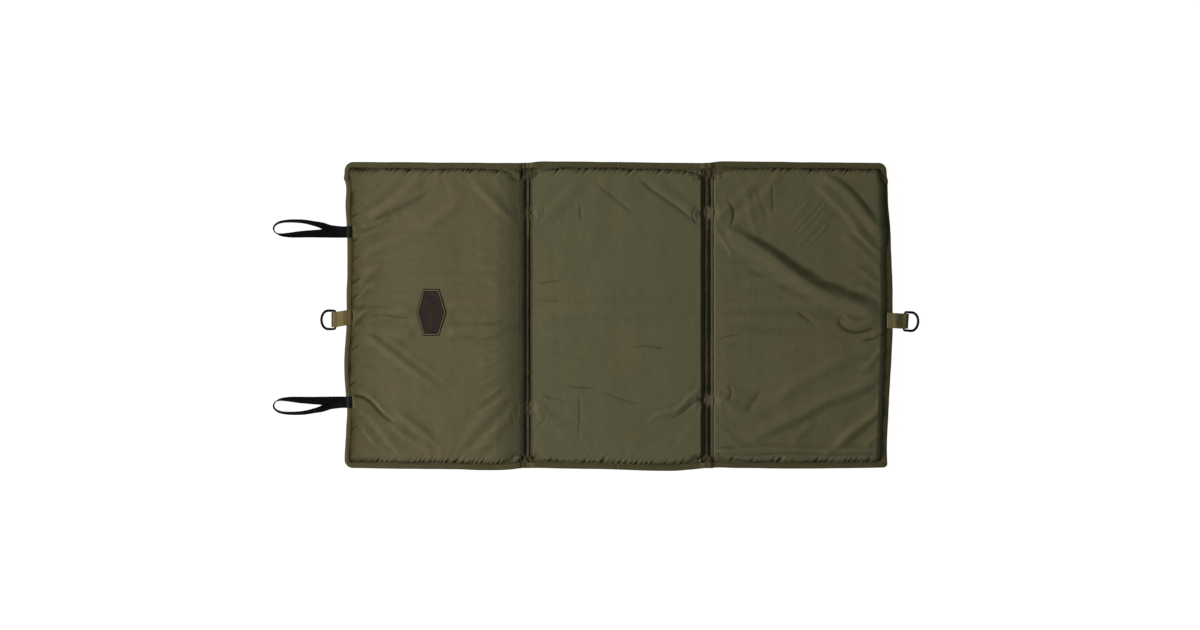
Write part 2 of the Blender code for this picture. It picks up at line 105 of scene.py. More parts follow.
# the outline as it lies in the photograph's frame: the right end, and both long edges
RIGHT_PY, RIGHT_PX = sampled([(163, 886.4), (171, 886.6), (183, 887.6), (205, 888.2), (230, 890.4), (265, 892.0),
                              (310, 892.7), (345, 892.0), (380, 890.2), (417, 887.7), (448, 886.6), (469, 887.4)])
LEFT_PY, LEFT_PX = sampled([(160, 345.8), (170, 345.2), (179, 345.2), (185, 346.5), (205, 346.1), (225, 347.3),
                            (262, 347.9), (300, 347.1), (318, 347.2), (332, 346.6), (346, 345.6), (372, 344.7),
                            (390, 345.9), (410, 347.6), (430, 346.6), (446, 345.7), (457, 345.2), (472, 346.0)])
REAR_PX, REAR_PY = sampled([(340, 161.6), (420, 162.1), (505, 162.7), (520, 162.7), (528, 162.4), (536, 161.5),
                            (560, 161.3), (625, 161.9), (690, 162.6), (707, 162.6), (718, 161.3), (740, 161.2),
                            (810, 162.0), (900, 162.9)])
FRONT_PX, FRONT_PY = sampled([(340, 468.0), (400, 469.0), (450, 469.4), (511, 469.7), (522, 468.4), (528, 468.3),
                              (560, 468.6), (600, 469.4), (693, 469.7), (705, 468.3), (740, 468.3), (800, 468.9),
                              (860, 468.2), (900, 467.4)])


def long_edge(x, t):
    """How far in from its straight line the rear (t 1) or front (t -1) edge lies at x."""
    px = 616.75 + x / 0.00166
    if t > 0:
        return (float(np.interp(px, REAR_PX, REAR_PY)) - 162.99) * 0.00166
    return (469.01 - float(np.interp(px, FRONT_PX, FRONT_PY))) * 0.00166


def at(px, py):
    """A place in the photograph's 1200 by 630 frame, as x and y in metres."""
    return (px - 616.75) * 0.00166, -(py - 316.0) * 0.00166


# ------------------------------------------------------------------ small numeric helpers
def smooth(t):
    t = np.clip(t, 0.0, 1.0)
    return t * t * (3 - 2 * t)


def noise(x, y, cell, seed):
    """Smooth value noise from -1 to 1 on a lattice with the given cell, in metres."""
    g = np.random.RandomState(seed).rand(97, 97) * 2 - 1
    u, v = np.asarray(x) / cell + 1000.37, np.asarray(y) / cell + 1000.71
    i, j = np.floor(u).astype(int), np.floor(v).astype(int)
    a, b = u - i, v - j
    a, b = a * a * a * (a * (a * 6 - 15) + 10), b * b * b * (b * (b * 6 - 15) + 10)
    i0, j0, i1, j1 = i % 97, j % 97, (i + 1) % 97, (j + 1) % 97
    return (
        (g[i0, j0] * (1 - a) + g[i1, j0] * a) * (1 - b)
        + (g[i0, j1] * (1 - a) + g[i1, j1] * a) * b
    )


def catmull(keys, per):
    """Smooth curve through keyed rows of numbers, per steps to each span."""
    rows = [keys[0]] + list(keys) + [keys[-1]]
    out = []
    for i in range(1, len(rows) - 2):
        p0, p1, p2, p3 = rows[i - 1], rows[i], rows[i + 1], rows[i + 2]
        for k in range(per):
            t = k / per
            out.append([
                0.5 * (2 * b + (c - a) * t + (2 * a - 5 * b + 4 * c - d) * t * t
                       + (3 * b - a - 3 * c + d) * t ** 3)
                for a, b, c, d in zip(p0, p1, p2, p3)
            ])
    out.append(list(rows[-2]))
    return out


# ------------------------------------------------------------------ mesh helpers
def mesh_object(name, verts, faces, uv=None, mats=(), face_mat=None):
    """An object from points and quads or triangles.  uv holds one pair for each vertex."""
    me = bpy.data.meshes.new(name)
    me.from_pydata([tuple(map(float, v)) for v in verts], [], [tuple(map(int, f)) for f in faces])
    me.update()
    for m in mats:
        me.materials.append(m)
    if uv is not None:
        layer = me.uv_layers.new(name="Fabric")
        loops = np.zeros(len(me.loops), np.int32)
        me.loops.foreach_get("vertex_index", loops)
        layer.data.foreach_set("uv", np.asarray(uv, np.float32)[loops].ravel())
    if face_mat is not None:
        me.polygons.foreach_set("material_index", np.asarray(face_mat, np.int32))
    me.shade_smooth()
    ob = bpy.data.objects.new(name, me)
    bpy.context.scene.collection.objects.link(ob)
    return ob


def rings_object(name, rings, mat, closed=False, uv=True, u0=0.0):
    """A closed tube-like solid through rings of points.  u runs along it and v round it."""
    R = np.array([[list(p) for p in ring] for ring in rings], float)
    n, m = R.shape[:2]
    faces = []
    for i in range(n if closed else n - 1):
        k = (i + 1) % n
        for j in range(m):
            q = (j + 1) % m
            faces.append((i * m + j, i * m + q, k * m + q, k * m + j))
    if not closed:
        faces.append(tuple(range(m))[::-1])
        faces.append(tuple((n - 1) * m + j for j in range(m)))
    mid = R.mean(1)
    along = np.concatenate([[0], np.cumsum(np.linalg.norm(np.diff(mid, axis=0), axis=1))]) + u0
    step = np.linalg.norm(np.diff(R, axis=1), axis=2).mean(0)
    round_it = np.concatenate([[0], np.cumsum(step)])
    U = np.stack(np.broadcast_arrays(along[:, None], round_it[None, :]), -1).reshape(-1, 2)
    ob = mesh_object(name, R.reshape(-1, 3), faces, U if uv else None, [mat])
    fix_normals(ob)
    return ob


def fix_normals(ob):
    """Turns the faces outwards, by the sign of the closed mesh's volume."""
    me = ob.data
    me.calc_loop_triangles()
    v = np.zeros(len(me.vertices) * 3)
    me.vertices.foreach_get("co", v)
    v = v.reshape(-1, 3)
    t = np.zeros(len(me.loop_triangles) * 3, np.int32)
    me.loop_triangles.foreach_get("vertices", t)
    a, b, c = (v[t.reshape(-1, 3)[:, k]] for k in range(3))
    if np.einsum("ij,ij->i", a, np.cross(b, c)).sum() < 0:
        me.flip_normals()


# ------------------------------------------------------------------ materials
def srgb(r, g, b):
    out = []
    for c in (r, g, b):
        c /= 255.0
        out.append(c / 12.92 if c <= 0.04045 else ((c + 0.055) / 1.055) ** 2.4)
    return (*out, 1.0)


class Nodes:
    """Short forms for building a node tree."""

    def __init__(self, name):
        self.mat = bpy.data.materials.new(name)
        self.mat.use_nodes = True
        self.nt = self.mat.node_tree
        self.bsdf = self.nt.nodes["Principled BSDF"]

    def node(self, kind, **props):
        n = self.nt.nodes.new(kind)
        for k, v in props.items():
            setattr(n, k, v)
        return n

    def link(self, a, b):
        self.nt.links.new(a, b)

    def set(self, node, **values):
        for k, v in values.items():
            node.inputs[k.replace("_", " ")].default_value = v
        return node

    def uv(self, scale=(1, 1), turn=0.0):
        """The fabric map in metres, scaled, so that 1 is one repeat."""
        u = self.node("ShaderNodeUVMap", uv_map="Fabric")
        m = self.node("ShaderNodeMapping")
        m.inputs["Scale"].default_value = (scale[0], scale[1], 1)
        m.inputs["Rotation"].default_value = (0, 0, turn)
        self.link(u.outputs["UV"], m.inputs["Vector"])
        return m.outputs["Vector"]

    def noise(self, vector, scale, detail=2.0, rough=0.5, distortion=0.0):
        n = self.node("ShaderNodeTexNoise")
        n.inputs["Scale"].default_value = scale
        n.inputs["Detail"].default_value = detail
        n.inputs["Roughness"].default_value = rough
        n.inputs["Distortion"].default_value = distortion
        self.link(vector, n.inputs["Vector"])
        return n.outputs["Fac"]

    def wave(self, vector, scale, direction="X", profile="SIN", distortion=0.0):
        n = self.node("ShaderNodeTexWave", bands_direction=direction, wave_profile=profile)
        n.inputs["Scale"].default_value = scale
        n.inputs["Distortion"].default_value = distortion
        self.link(vector, n.inputs["Vector"])
        return n.outputs["Fac"]

    def math(self, op, a, b=None, clamp=False):
        n = self.node("ShaderNodeMath", operation=op, use_clamp=clamp)
        for k, v in enumerate((a, b)):
            if v is None:
                continue
            if isinstance(v, (int, float)):
                n.inputs[k].default_value = v
            else:
                self.link(v, n.inputs[k])
        return n.outputs[0]

    def ramp(self, fac, stops):
        n = self.node("ShaderNodeValToRGB")
        e = n.color_ramp.elements
        e[0].position, e[0].color = stops[0]
        e[1].position, e[1].color = stops[-1]
        for pos, col in stops[1:-1]:
            x = e.new(pos)
            x.color = col
        self.link(fac, n.inputs["Fac"])
        return n.outputs["Color"]

    def range(self, value, a, b, c, d):
        n = self.node("ShaderNodeMapRange")
        for k, v in zip(("From Min", "From Max", "To Min", "To Max"), (a, b, c, d)):
            n.inputs[k].default_value = v
        self.link(value, n.inputs["Value"])
        return n.outputs["Result"]

    def mix(self, fac, a, b, mode="MIX"):
        n = self.node("ShaderNodeMix", data_type="RGBA", blend_type=mode)
        for k, v in ((0, fac), (6, a), (7, b)):
            if isinstance(v, (int, float, tuple)):
                n.inputs[k].default_value = v
            else:
                self.link(v, n.inputs[k])
        return n.outputs[2]

    def fuzz(self):
        """0 where a surface is seen square on, 1 where it is seen flat: there the yarn's
        loose fibres hide its gloss."""
        w = self.node("ShaderNodeLayerWeight")
        w.inputs["Blend"].default_value = 0.5
        return self.range(w.outputs["Facing"], 0.15, 0.60, 0.0, 1.0)

    def bump(self, height, strength, distance, normal=None):
        n = self.node("ShaderNodeBump")
        n.inputs["Strength"].default_value = strength
        n.inputs["Distance"].default_value = distance
        self.link(height, n.inputs["Height"])
        if normal is not None:
            self.link(normal, n.inputs["Normal"])
        return n.outputs["Normal"]


def weave(k, uv, pitch, plain=True):
    """Height of a plain weave: threads over and under each other, pitch in metres."""
    s = math.pi / pitch / 10.0 / math.pi      # Wave's bands repeat at scale 10 per unit / 2 pi
    a = k.wave(uv, s * 0.314159 * 10, "X")
    b = k.wave(uv, s * 0.314159 * 10, "Y")
    if not plain:
        return a, b
    return k.math("ADD", k.math("MULTIPLY", a, b),
                  k.math("MULTIPLY", k.math("SUBTRACT", 1.0, a), k.math("SUBTRACT", 1.0, b)))


def nylon(name, green, brown, dark, rough=0.5, sheen=0.05, pitch=0.00055):
    """Coated nylon of green and brown yarn in a fine plain weave.  The two olives show by
    turns as the cloth leans one way or the other, a painted tone of light and shade:
    browner where the cloth faces the light, greener where it faces away.  Painted shade
    darkens the seams, the tucks and the creases."""
    k = Nodes(name)
    uv = k.uv()
    # per-vertex tone that paints light and shade, and per-vertex painted shade
    lean = k.node("ShaderNodeAttribute", attribute_name="lean").outputs["Fac"]
    soil = k.node("ShaderNodeAttribute", attribute_name="soil").outputs["Fac"]
    drift = k.noise(uv, 9.0, 3.0, 0.55, 0.4)
    streak = k.noise(k.uv((30, 5), 0.5), 1.0, 3.0, 0.6)
    tint = k.math("ADD", lean, k.range(drift, 0.34, 0.68, -0.24, 0.24))
    col = k.mix(k.range(tint, 0.0, 1.0, 0, 1), green, brown)
    col = k.mix(k.math("MULTIPLY", k.range(streak, 0.35, 0.75, 0, 1), 0.16), col, dark)
    # painted shade: the per-vertex amount, a little patchy, mixes the colour towards a dark olive
    patch = k.noise(uv, 60.0, 3.0, 0.6)
    shade_amount = k.math("MULTIPLY", soil, k.range(patch, 0.25, 0.75, 0.80, 1.15), clamp=True)
    col = k.mix(shade_amount, col, srgb(30, 26, 11))
    threads = weave(k, uv, pitch)
    col = k.mix(k.range(threads, 0.0, 1.0, 0.14, 0.0), col, dark)
    k.link(col, k.bsdf.inputs["Base Color"])
    fine = k.noise(uv, 420.0, 2.0, 0.6)
    rougher = k.math("MULTIPLY", soil, 0.25)
    fuzz = k.fuzz()
    rougher = k.math("ADD", rougher, k.math("MULTIPLY", fuzz, 0.45))
    k.link(k.math("ADD", k.range(fine, 0.3, 0.7, rough - 0.05, rough + 0.07), rougher, clamp=True),
           k.bsdf.inputs["Roughness"])
    crinkle = k.noise(k.uv((1, 1), 0.3), 95.0, 3.0, 0.55, 0.6)
    n1 = k.bump(crinkle, 0.22, 0.0012)
    k.link(k.bump(threads, 0.25, 0.00012, n1), k.bsdf.inputs["Normal"])
    k.bsdf.inputs["Specular IOR Level"].default_value = 0.14
    gloss = k.range(soil, 0.0, 0.7, 0.20, 0.0)
    k.link(k.math("MULTIPLY", gloss, k.range(fuzz, 0.0, 1.0, 1.0, 0.35)), k.bsdf.inputs["Specular IOR Level"])
    k.bsdf.inputs["Sheen Weight"].default_value = sheen
    k.bsdf.inputs["Sheen Roughness"].default_value = 0.45
    k.bsdf.inputs["Sheen Tint"].default_value = (0.60, 0.56, 0.36, 1)
    return k.mat


def woven(name, light, dark, pitch_u, pitch_v, rough, depth, turn=0.0, spec=0.3, sheen=0.15):
    """Narrow woven goods: rows of yarn across and along, lighter on the threads' tops and darker between them."""
    k = Nodes(name)
    uv = k.uv((1, 1), turn)
    a = k.wave(uv, 0.1 * math.pi / pitch_u / math.pi * 3.14159 * 1.0, "X")
    b = k.wave(uv, 0.1 * math.pi / pitch_v / math.pi * 3.14159 * 1.0, "Y")
    h = k.math("ADD", k.math("MULTIPLY", a, b),
               k.math("MULTIPLY", k.math("SUBTRACT", 1.0, a), k.math("SUBTRACT", 1.0, b)))
    drift = k.noise(k.uv(), 60.0, 3.0, 0.6)
    col = k.mix(k.range(h, 0.0, 0.9, 0.0, 1.0), dark, light)
    col = k.mix(k.math("MULTIPLY", k.range(drift, 0.3, 0.7, 0, 1), 0.4), col, dark)
    # painted shade from the per-vertex value, mixed towards near black
    soil = k.node("ShaderNodeAttribute", attribute_name="soil").outputs["Fac"]
    col = k.mix(soil, col, srgb(24, 21, 13))
    k.link(col, k.bsdf.inputs["Base Color"])
    k.link(k.math("ADD", k.range(drift, 0.3, 0.7, rough - 0.06, rough + 0.06),
                  k.math("MULTIPLY", k.fuzz(), 0.25), clamp=True), k.bsdf.inputs["Roughness"])
    k.link(k.bump(h, 0.55, depth), k.bsdf.inputs["Normal"])
    k.bsdf.inputs["Specular IOR Level"].default_value = spec
    k.bsdf.inputs["Sheen Weight"].default_value = sheen
    k.bsdf.inputs["Sheen Roughness"].default_value = 0.5
    return k.mat


def black_steel():
    k = Nodes("ring_black_steel")
    tc = k.node("ShaderNodeTexCoord")
    n = k.noise(tc.outputs["Object"], 900.0, 4.0, 0.6)
    worn = k.noise(tc.outputs["Object"], 160.0, 4.0, 0.65)
    col = k.mix(k.range(worn, 0.62, 0.78, 0.0, 1.0), srgb(15, 15, 17), srgb(38, 38, 40))
    k.link(col, k.bsdf.inputs["Base Color"])
    k.link(k.range(n, 0.3, 0.7, 0.30, 0.44), k.bsdf.inputs["Roughness"])
    k.link(k.bump(n, 0.12, 0.0001), k.bsdf.inputs["Normal"])
    k.bsdf.inputs["Specular IOR Level"].default_value = 0.03
    return k.mat


def thread_mat(name, rgb, rough=0.55):
    k = Nodes(name)
    tc = k.node("ShaderNodeTexCoord")
    n = k.noise(tc.outputs["Object"], 1400.0, 2.0, 0.5)
    col = k.mix(k.range(n, 0.3, 0.7, 0.0, 1.0), srgb(*rgb), srgb(*[c * 0.72 for c in rgb]))
    k.link(col, k.bsdf.inputs["Base Color"])
    k.bsdf.inputs["Roughness"].default_value = rough
    k.link(k.bump(n, 0.4, 0.0001), k.bsdf.inputs["Normal"])
    k.bsdf.inputs["Sheen Weight"].default_value = 0.05
    return k.mat


def badge_mat(name, rgb, rough):
    k = Nodes(name)
    uv = k.uv()
    grain = k.noise(uv, 900.0, 4.0, 0.65)
    big = k.noise(uv, 70.0, 3.0, 0.6)
    col = k.mix(k.range(big, 0.3, 0.7, 0.0, 1.0), srgb(*rgb), srgb(*[c * 0.78 for c in rgb]))
    k.link(col, k.bsdf.inputs["Base Color"])
    k.link(k.math("ADD", k.range(big, 0.3, 0.7, rough - 0.08, rough + 0.05),
                  k.math("MULTIPLY", k.fuzz(), 0.25), clamp=True), k.bsdf.inputs["Roughness"])
    k.link(k.bump(grain, 0.45, 0.00025), k.bsdf.inputs["Normal"])
    k.bsdf.inputs["Specular IOR Level"].default_value = 0.16
    return k.mat


NYLON = nylon("olive_nylon_top", srgb(91, 91, 65), srgb(103, 92, 65), srgb(64, 60, 39))
BASE = nylon("olive_nylon_base", srgb(74, 73, 49), srgb(84, 75, 52), srgb(52, 49, 32), 0.58, 0.04, 0.0009)
# the folds' strips: the top's nylon in a darker copy, painted shade for the grooves
NYLON_FOLD_SHADED = nylon("olive_nylon_fold_shaded", srgb(60, 62, 50), srgb(92, 80, 56), srgb(42, 42, 32), 0.65, 0.02)
TAPE = woven("bias_tape", srgb(86, 79, 44), srgb(60, 54, 28), 0.0011, 0.0011, 0.72, 0.00025, 0.785, 0.25, 0.06)
WEB_TAN = woven("tan_webbing", srgb(101, 89, 52), srgb(83, 72, 40), 0.0022, 0.0013, 0.75, 0.0004, 0.0, 0.15, 0.04)
WEB_OLIVE = woven("olive_webbing", srgb(134, 126, 84), srgb(106, 98, 64), 0.0022, 0.0013, 0.75, 0.0004, 0.0, 0.15, 0.04)
ELASTIC = woven("black_elastic", srgb(22, 22, 24), srgb(9, 9, 10), 0.0016, 0.0014, 0.8, 0.0003, 0.0, 0.03, 0.0)
STEEL = black_steel()
THREAD = thread_mat("olive_thread", (66, 58, 35))
THREAD_DARK = thread_mat("dark_thread", (19, 15, 17))
THREAD_TAN = thread_mat("tan_thread", (112, 98, 62))
THREAD_BROWN = thread_mat("brown_thread", (62, 42, 28))
BADGE_FACE = badge_mat("badge_face", (50, 38, 32), 0.72)
BADGE_RIM = badge_mat("badge_rim", (24, 18, 14), 0.66)
BADGE_LINE = badge_mat("badge_line", (106, 97, 70), 0.66)


# ------------------------------------------------------------------ creases in the fabric
def crease(X, Y, H, pts, a, w, w2=None, ends=(0.25, 0.35)):
    """Adds a ridge of height a along a line, or a furrow if a is below 0.  w is its
    half-width on the line's left, w2 on its right, all in metres.  ends are the shares
    of its length over which it rises and fades."""
    w2 = w if w2 is None else w2
    line = np.array(catmull([list(p) for p in pts], 5))
    reach = 2.6 * max(w, w2)
    lo, hi = line.min(0) - reach, line.max(0) + reach
    inside = (X > lo[0]) & (X < hi[0]) & (Y > lo[1]) & (Y < hi[1])
    if not inside.any():
        return
    x, y = X[inside], Y[inside]
    best = np.full(x.shape, 1e9)
    side = np.zeros(x.shape)
    place = np.zeros(x.shape)
    seg = np.linalg.norm(np.diff(line, axis=0), axis=1)
    total = seg.sum()
    run = 0.0
    for p, q, length in zip(line, line[1:], seg):
        if length < 1e-7:
            continue
        d = (q - p) / length
        t = np.clip((x - p[0]) * d[0] + (y - p[1]) * d[1], 0, length)
        ex, ey = x - p[0] - d[0] * t, y - p[1] - d[1] * t
        dist = np.hypot(ex, ey)
        near = dist < best
        best[near] = dist[near]
        side[near] = (d[0] * ey - d[1] * ex)[near]
        place[near] = (run + t[near]) / total
        run += length
    wide = np.where(side > 0, w, w2)
    fade = smooth(place / max(ends[0], 1e-3)) * smooth((1 - place) / max(ends[1], 1e-3))
    H[inside] += a * fade * np.exp(-((best / wide) ** 2))


def pucker(X, Y, H, x, y, r, a, n=5, start=0.0, sweep=math.pi, depth=None):
    """Folds that radiate from a bar tack at (x, y), over the half plane that the fabric
    lies in, with a dent at the tack itself."""
    dx, dy = X - x, Y - y
    d = np.hypot(dx, dy)
    H -= (depth if depth is not None else a) * np.exp(-((d / (0.45 * r)) ** 2))
    for k in range(n):
        t = start + sweep * (k + 0.5) / n
        ux, uy = math.cos(t), math.sin(t)
        jitter = 0.7 + 0.5 * ((k * 7919) % 10) / 10.0
        far = (x + ux * r * 1.5 * jitter, y + uy * r * 1.5 * jitter)
        near = (x + ux * r * 0.22, y + uy * r * 0.22)
        mid = ((near[0] + far[0]) / 2 - uy * r * 0.12, (near[1] + far[1]) / 2 + ux * r * 0.12)
        crease(X, Y, H, [near, mid, far], a * 0.75, r * 0.13, r * 0.09, (0.1, 0.7))


# ------------------------------------------------------------------ pads
def graded(a, b, step, fine_a=True, fine_b=True):
    """Coordinates from a to b: close together at a wall, even in between."""
    wall = [0.0, 0.10, 0.28, 0.55, 0.95, 1.5, 2.2, 3.1, 4.2, 5.5, 7.0, 8.7]
    wall = [w * MM for w in wall]
    left = [a + w for w in wall] if fine_a else [a]
    right = [b - w for w in wall][::-1] if fine_b else [b]
    n = max(2, int(round((right[0] - left[-1]) / step)))
    mid = [left[-1] + (right[0] - left[-1]) * k / n for k in range(1, n)]
    return np.array(left + mid + right)


def shoulder(m, kind):
    """Share of the full height at m, which is 1 at the wall and 0 on the flat: a quarter
    round, a chamfer, or a long soft slope that ends in a short drop."""
    m = np.clip(m, 0, 1)
    if kind == "slope":
        return (1 - 0.85 * m ** 1.5) * np.sqrt(1 - 0.6 * np.clip((m - 0.985) / 0.015, 0, 1) ** 2)
    if kind == "chamfer":
        return 1 - m ** 1.4
    return np.sqrt(1 - m ** 2.2)


def gathers(c, seed, lo, hi, depth, marks=(), sharp=0.48):
    """Fabric drawn in along a seam, at places c along it: 0 on the puffs, and up to depth
    in the sharp tucks between them.  marks are places that have a deep tuck."""
    rng = np.random.RandomState(seed)
    ks = [-0.62]
    while ks[-1] < 0.62:
        ks.append(ks[-1] + lo + (hi - lo) * rng.rand() ** 2.2)
    ks = np.array(ks)
    d = depth * (0.16 + 0.74 * rng.rand(len(ks)) ** 1.6)
    for k in marks:
        i = int(np.argmin(np.abs(ks - k)))
        ks[i], d[i] = k, depth * (0.95 + 0.4 * rng.rand())
    order = np.argsort(ks)
    ks, d = ks[order], d[order]
    i = np.clip(np.searchsorted(ks, c) - 1, 0, len(ks) - 2)
    u = np.clip((c - ks[i]) / np.maximum(ks[i + 1] - ks[i], 1e-5), 0, 1)
    tuck = 1 - np.clip(np.minimum(u, 1 - u) * 2, 0, 1) ** sharp
    return np.where(u < 0.5, d[i], d[i + 1]) * tuck


def fan(X, Y):
    """Folds that fan out from the ends of the folds' strips to the tape: 0 on their
    ridges, 1 down in the furrows between them, and 0 away from them."""
    out = np.zeros_like(X)
    for s in (-1, 1):
        for t, cy in ((1, FAN_REAR), (-1, -FAN_FRONT)):
            dx, dy = X - s * FOLD_X, (Y - cy) * t
            r = np.hypot(dx, dy)
            a = np.arctan2(dx, dy + 0.006)
            a = a + 0.45 * noise(r, a * 0.01, 0.007, 7 + s + 3 * t)
            furrow = 1 - np.abs(np.sin(3.7 * a + 0.9 * s + 0.5 * t)) ** 0.6
            reach = smooth((r - 0.001) / 0.004) * (1 - smooth((r - 0.013) / 0.022))
            out = np.maximum(out, furrow * reach * smooth((dy + 0.007) / 0.006))
    return out


def creaser(X, Y, H, crease_shade):
    """Short form for a crease given by places in the photograph, with its height and
    widths in millimetres.  A furrow gets painted shade along it; dark adds painted shade
    along any crease."""
    def c(pts, a, w, w2=None, ends=(0.25, 0.35), dark=None):
        line = [at(*p) for p in pts]
        crease(X, Y, H, line, a * RELIEF * MM, w * MM, None if w2 is None else w2 * MM, ends)
        # painted shade along a furrow, more in a narrow one
        if dark is None:
            dark = min(0.40, -0.75 * a) * min(1.0, 2.6 / w) if a < 0 else 0.0
        if dark:
            crease(X, Y, crease_shade, line, dark, 0.6 * w * MM, None, ends)
    return c


class Pad:
    """One panel's sizes: its walls, and how wide each side's rounding is."""

    def __init__(self, name, x0, x1, out_l, out_r, soft, body):
        self.name, self.x0, self.x1, self.out_l, self.out_r = name, x0, x1, out_l, out_r
        self.soft, self.body = soft, body
        self.wl = x0 + (WALL_IN if out_l else WALL_CLEAR)
        self.wr = x1 - (WALL_IN if out_r else WALL_CLEAR)


FAN_REAR, FAN_FRONT = 0.2290, 0.2330
LEFT = Pad("left", EDGE_L, HINGE[0], True, False,
           dict(l=0.0034, r=0.0400, t=0.0110, b=0.0105), "left_panel")
MIDDLE = Pad("middle", HINGE[1], HINGE[2], False, False,
             dict(l=0.0021, r=0.0018, t=0.0105, b=0.0100), "middle_panel")
RIGHT = Pad("right", HINGE[3], EDGE_R, False, True,
            dict(l=0.0022, r=0.0068, t=0.0110, b=0.0110), "right_panel")
TUCKS_REAR = (411, 447, 474, 500, 560, 590, 633, 662, 727, 777, 814, 850)
TUCKS_FRONT = (376, 418, 455, 480, 505, 548, 600, 635, 673, 730, 777, 814, 848, 866)
TUCKS_LEFT = (245, 262, 278, 287, 300, 319, 331, 350, 372, 398, 425)
RELIEF = 1.55


def relief_left(X, Y, H, crease_shade):
    """Creases of the left panel.  A line's left is its far side from the light here."""
    c = creaser(X, Y, H, crease_shade)
    # long slanting folds from the rear loop towards the rear edge
    c([(366, 222), (384, 212), (396, 206.5), (409, 200.5), (424, 192.5), (440, 183)], 1.0, 10, 3.6)
    c([(360, 228), (376, 224), (392, 217)], 0.6, 5, 3)
    c([(354, 237), (367, 235), (380, 232), (392, 230)], 0.6, 4, 3, (0.1, 0.6))
    c([(421, 234), (434, 222), (458, 204), (470, 197)], 0.7, 13, 8)
    c([(360, 262), (376, 250), (400, 241), (420, 238)], 0.5, 8, 5)
    c([(358, 290), (372, 272), (392, 262)], 0.55, 8, 5)
    c([(356, 300), (370, 288), (384, 282)], 0.4, 5, 3.5)
    # round the tab
    c([(353, 325), (359, 318), (366, 312), (378, 309)], 0.9, 4, 2.6, (0.05, 0.6))
    c([(366, 316), (385, 315), (402, 317.5), (416, 318.5)], -0.35, 2.2, 2.8)
    c([(356, 305), (372, 303), (394, 305), (412, 304)], 0.3, 3.5, 2.5)
    c([(353, 308), (361, 304), (370, 299)], 0.6, 3.5, 2.4, (0.05, 0.6))
    # slanting folds in the front half
    c([(360, 331), (388, 350), (414, 370.5), (438, 386), (452, 395)], 1.0, 5, 9, (0.2, 0.4))
    c([(372, 330), (396, 344), (420, 362), (446, 382), (470, 400)], 0.35, 5, 8)
    c([(353, 396), (362, 397), (372, 403), (379, 411), (388, 419), (402, 430)], -0.9, 3.2, 3.2, (0.05, 0.5))
    c([(366, 394), (375, 400), (383, 409), (392, 416)], 0.7, 4, 4)
    c([(388, 421), (402, 433), (418, 443), (434, 450)], 0.65, 4, 7)
    c([(392, 409), (408, 420), (424, 432), (438, 444), (446, 451)], 0.8, 4.5, 7.5)
    c([(362, 428), (370, 437), (378, 446)], 0.45, 3, 4)
    c([(357, 445), (370, 452), (392, 455), (430, 453)], 0.35, 3, 4)
    c([(515.5, 207), (512.6, 212.5), (513, 219), (516.5, 225)], -0.34, 1.2, 1.6, (0.2, 0.2))
    c([(515.5, 407), (512.3, 413), (512.2, 420), (514.5, 427)], -0.34, 1.2, 1.6, (0.2, 0.2))
    c([(354, 413), (366, 414), (380, 416)], 0.35, 2.5, 3)
    # short slanting tucks along the end's seam
    for k, (y, n) in enumerate(((196, 6), (207, 5), (219, 7), (244, 8), (262, 7), (285, 9), (300, 8), (309, 5), (340, 6),
                                (352, 8), (371, 5), (386, 6), (431, 7), (443, 5))):
        c([(352.6, y), (352.6 + 0.6 * n, y - 0.6 * n), (352.6 + 1.2 * n, y - 1.1 * n)], -0.42, 2.0, 2.0, (0.05, 0.8), 0.55)
    # soft ripples that run into the broad shoulder
    for k, (y, lean) in enumerate(((348, 5), (362, 7), (378, 9), (392, 12), (404, 13), (334, 4),
                                   (320, 2), (430, 9), (442, 6), (256, -3), (268, -3), (284, -2))):
        c([(470 + 3 * (k % 4), y + lean), (488, y + lean * 0.4), (508, y - lean * 0.6)],
          0.42, 3.2, 2.8, (0.4, 0.4))
    for k in range(13):
        y = 222 + 6.6 * k
        x = 402 + 17 * math.sin(k * 1.7)
        c([(x, y), (x + 30, y + 2.5), (x + 62, y + 5.5)], 0.25, 2.2, 2.2, (0.4, 0.4))
    for k in range(10):
        y = 176 + 4.4 * k
        c([(478, y + 9), (490, y + 5), (504, y - 1)], 0.16, 2.4, 2.4, (0.4, 0.4))


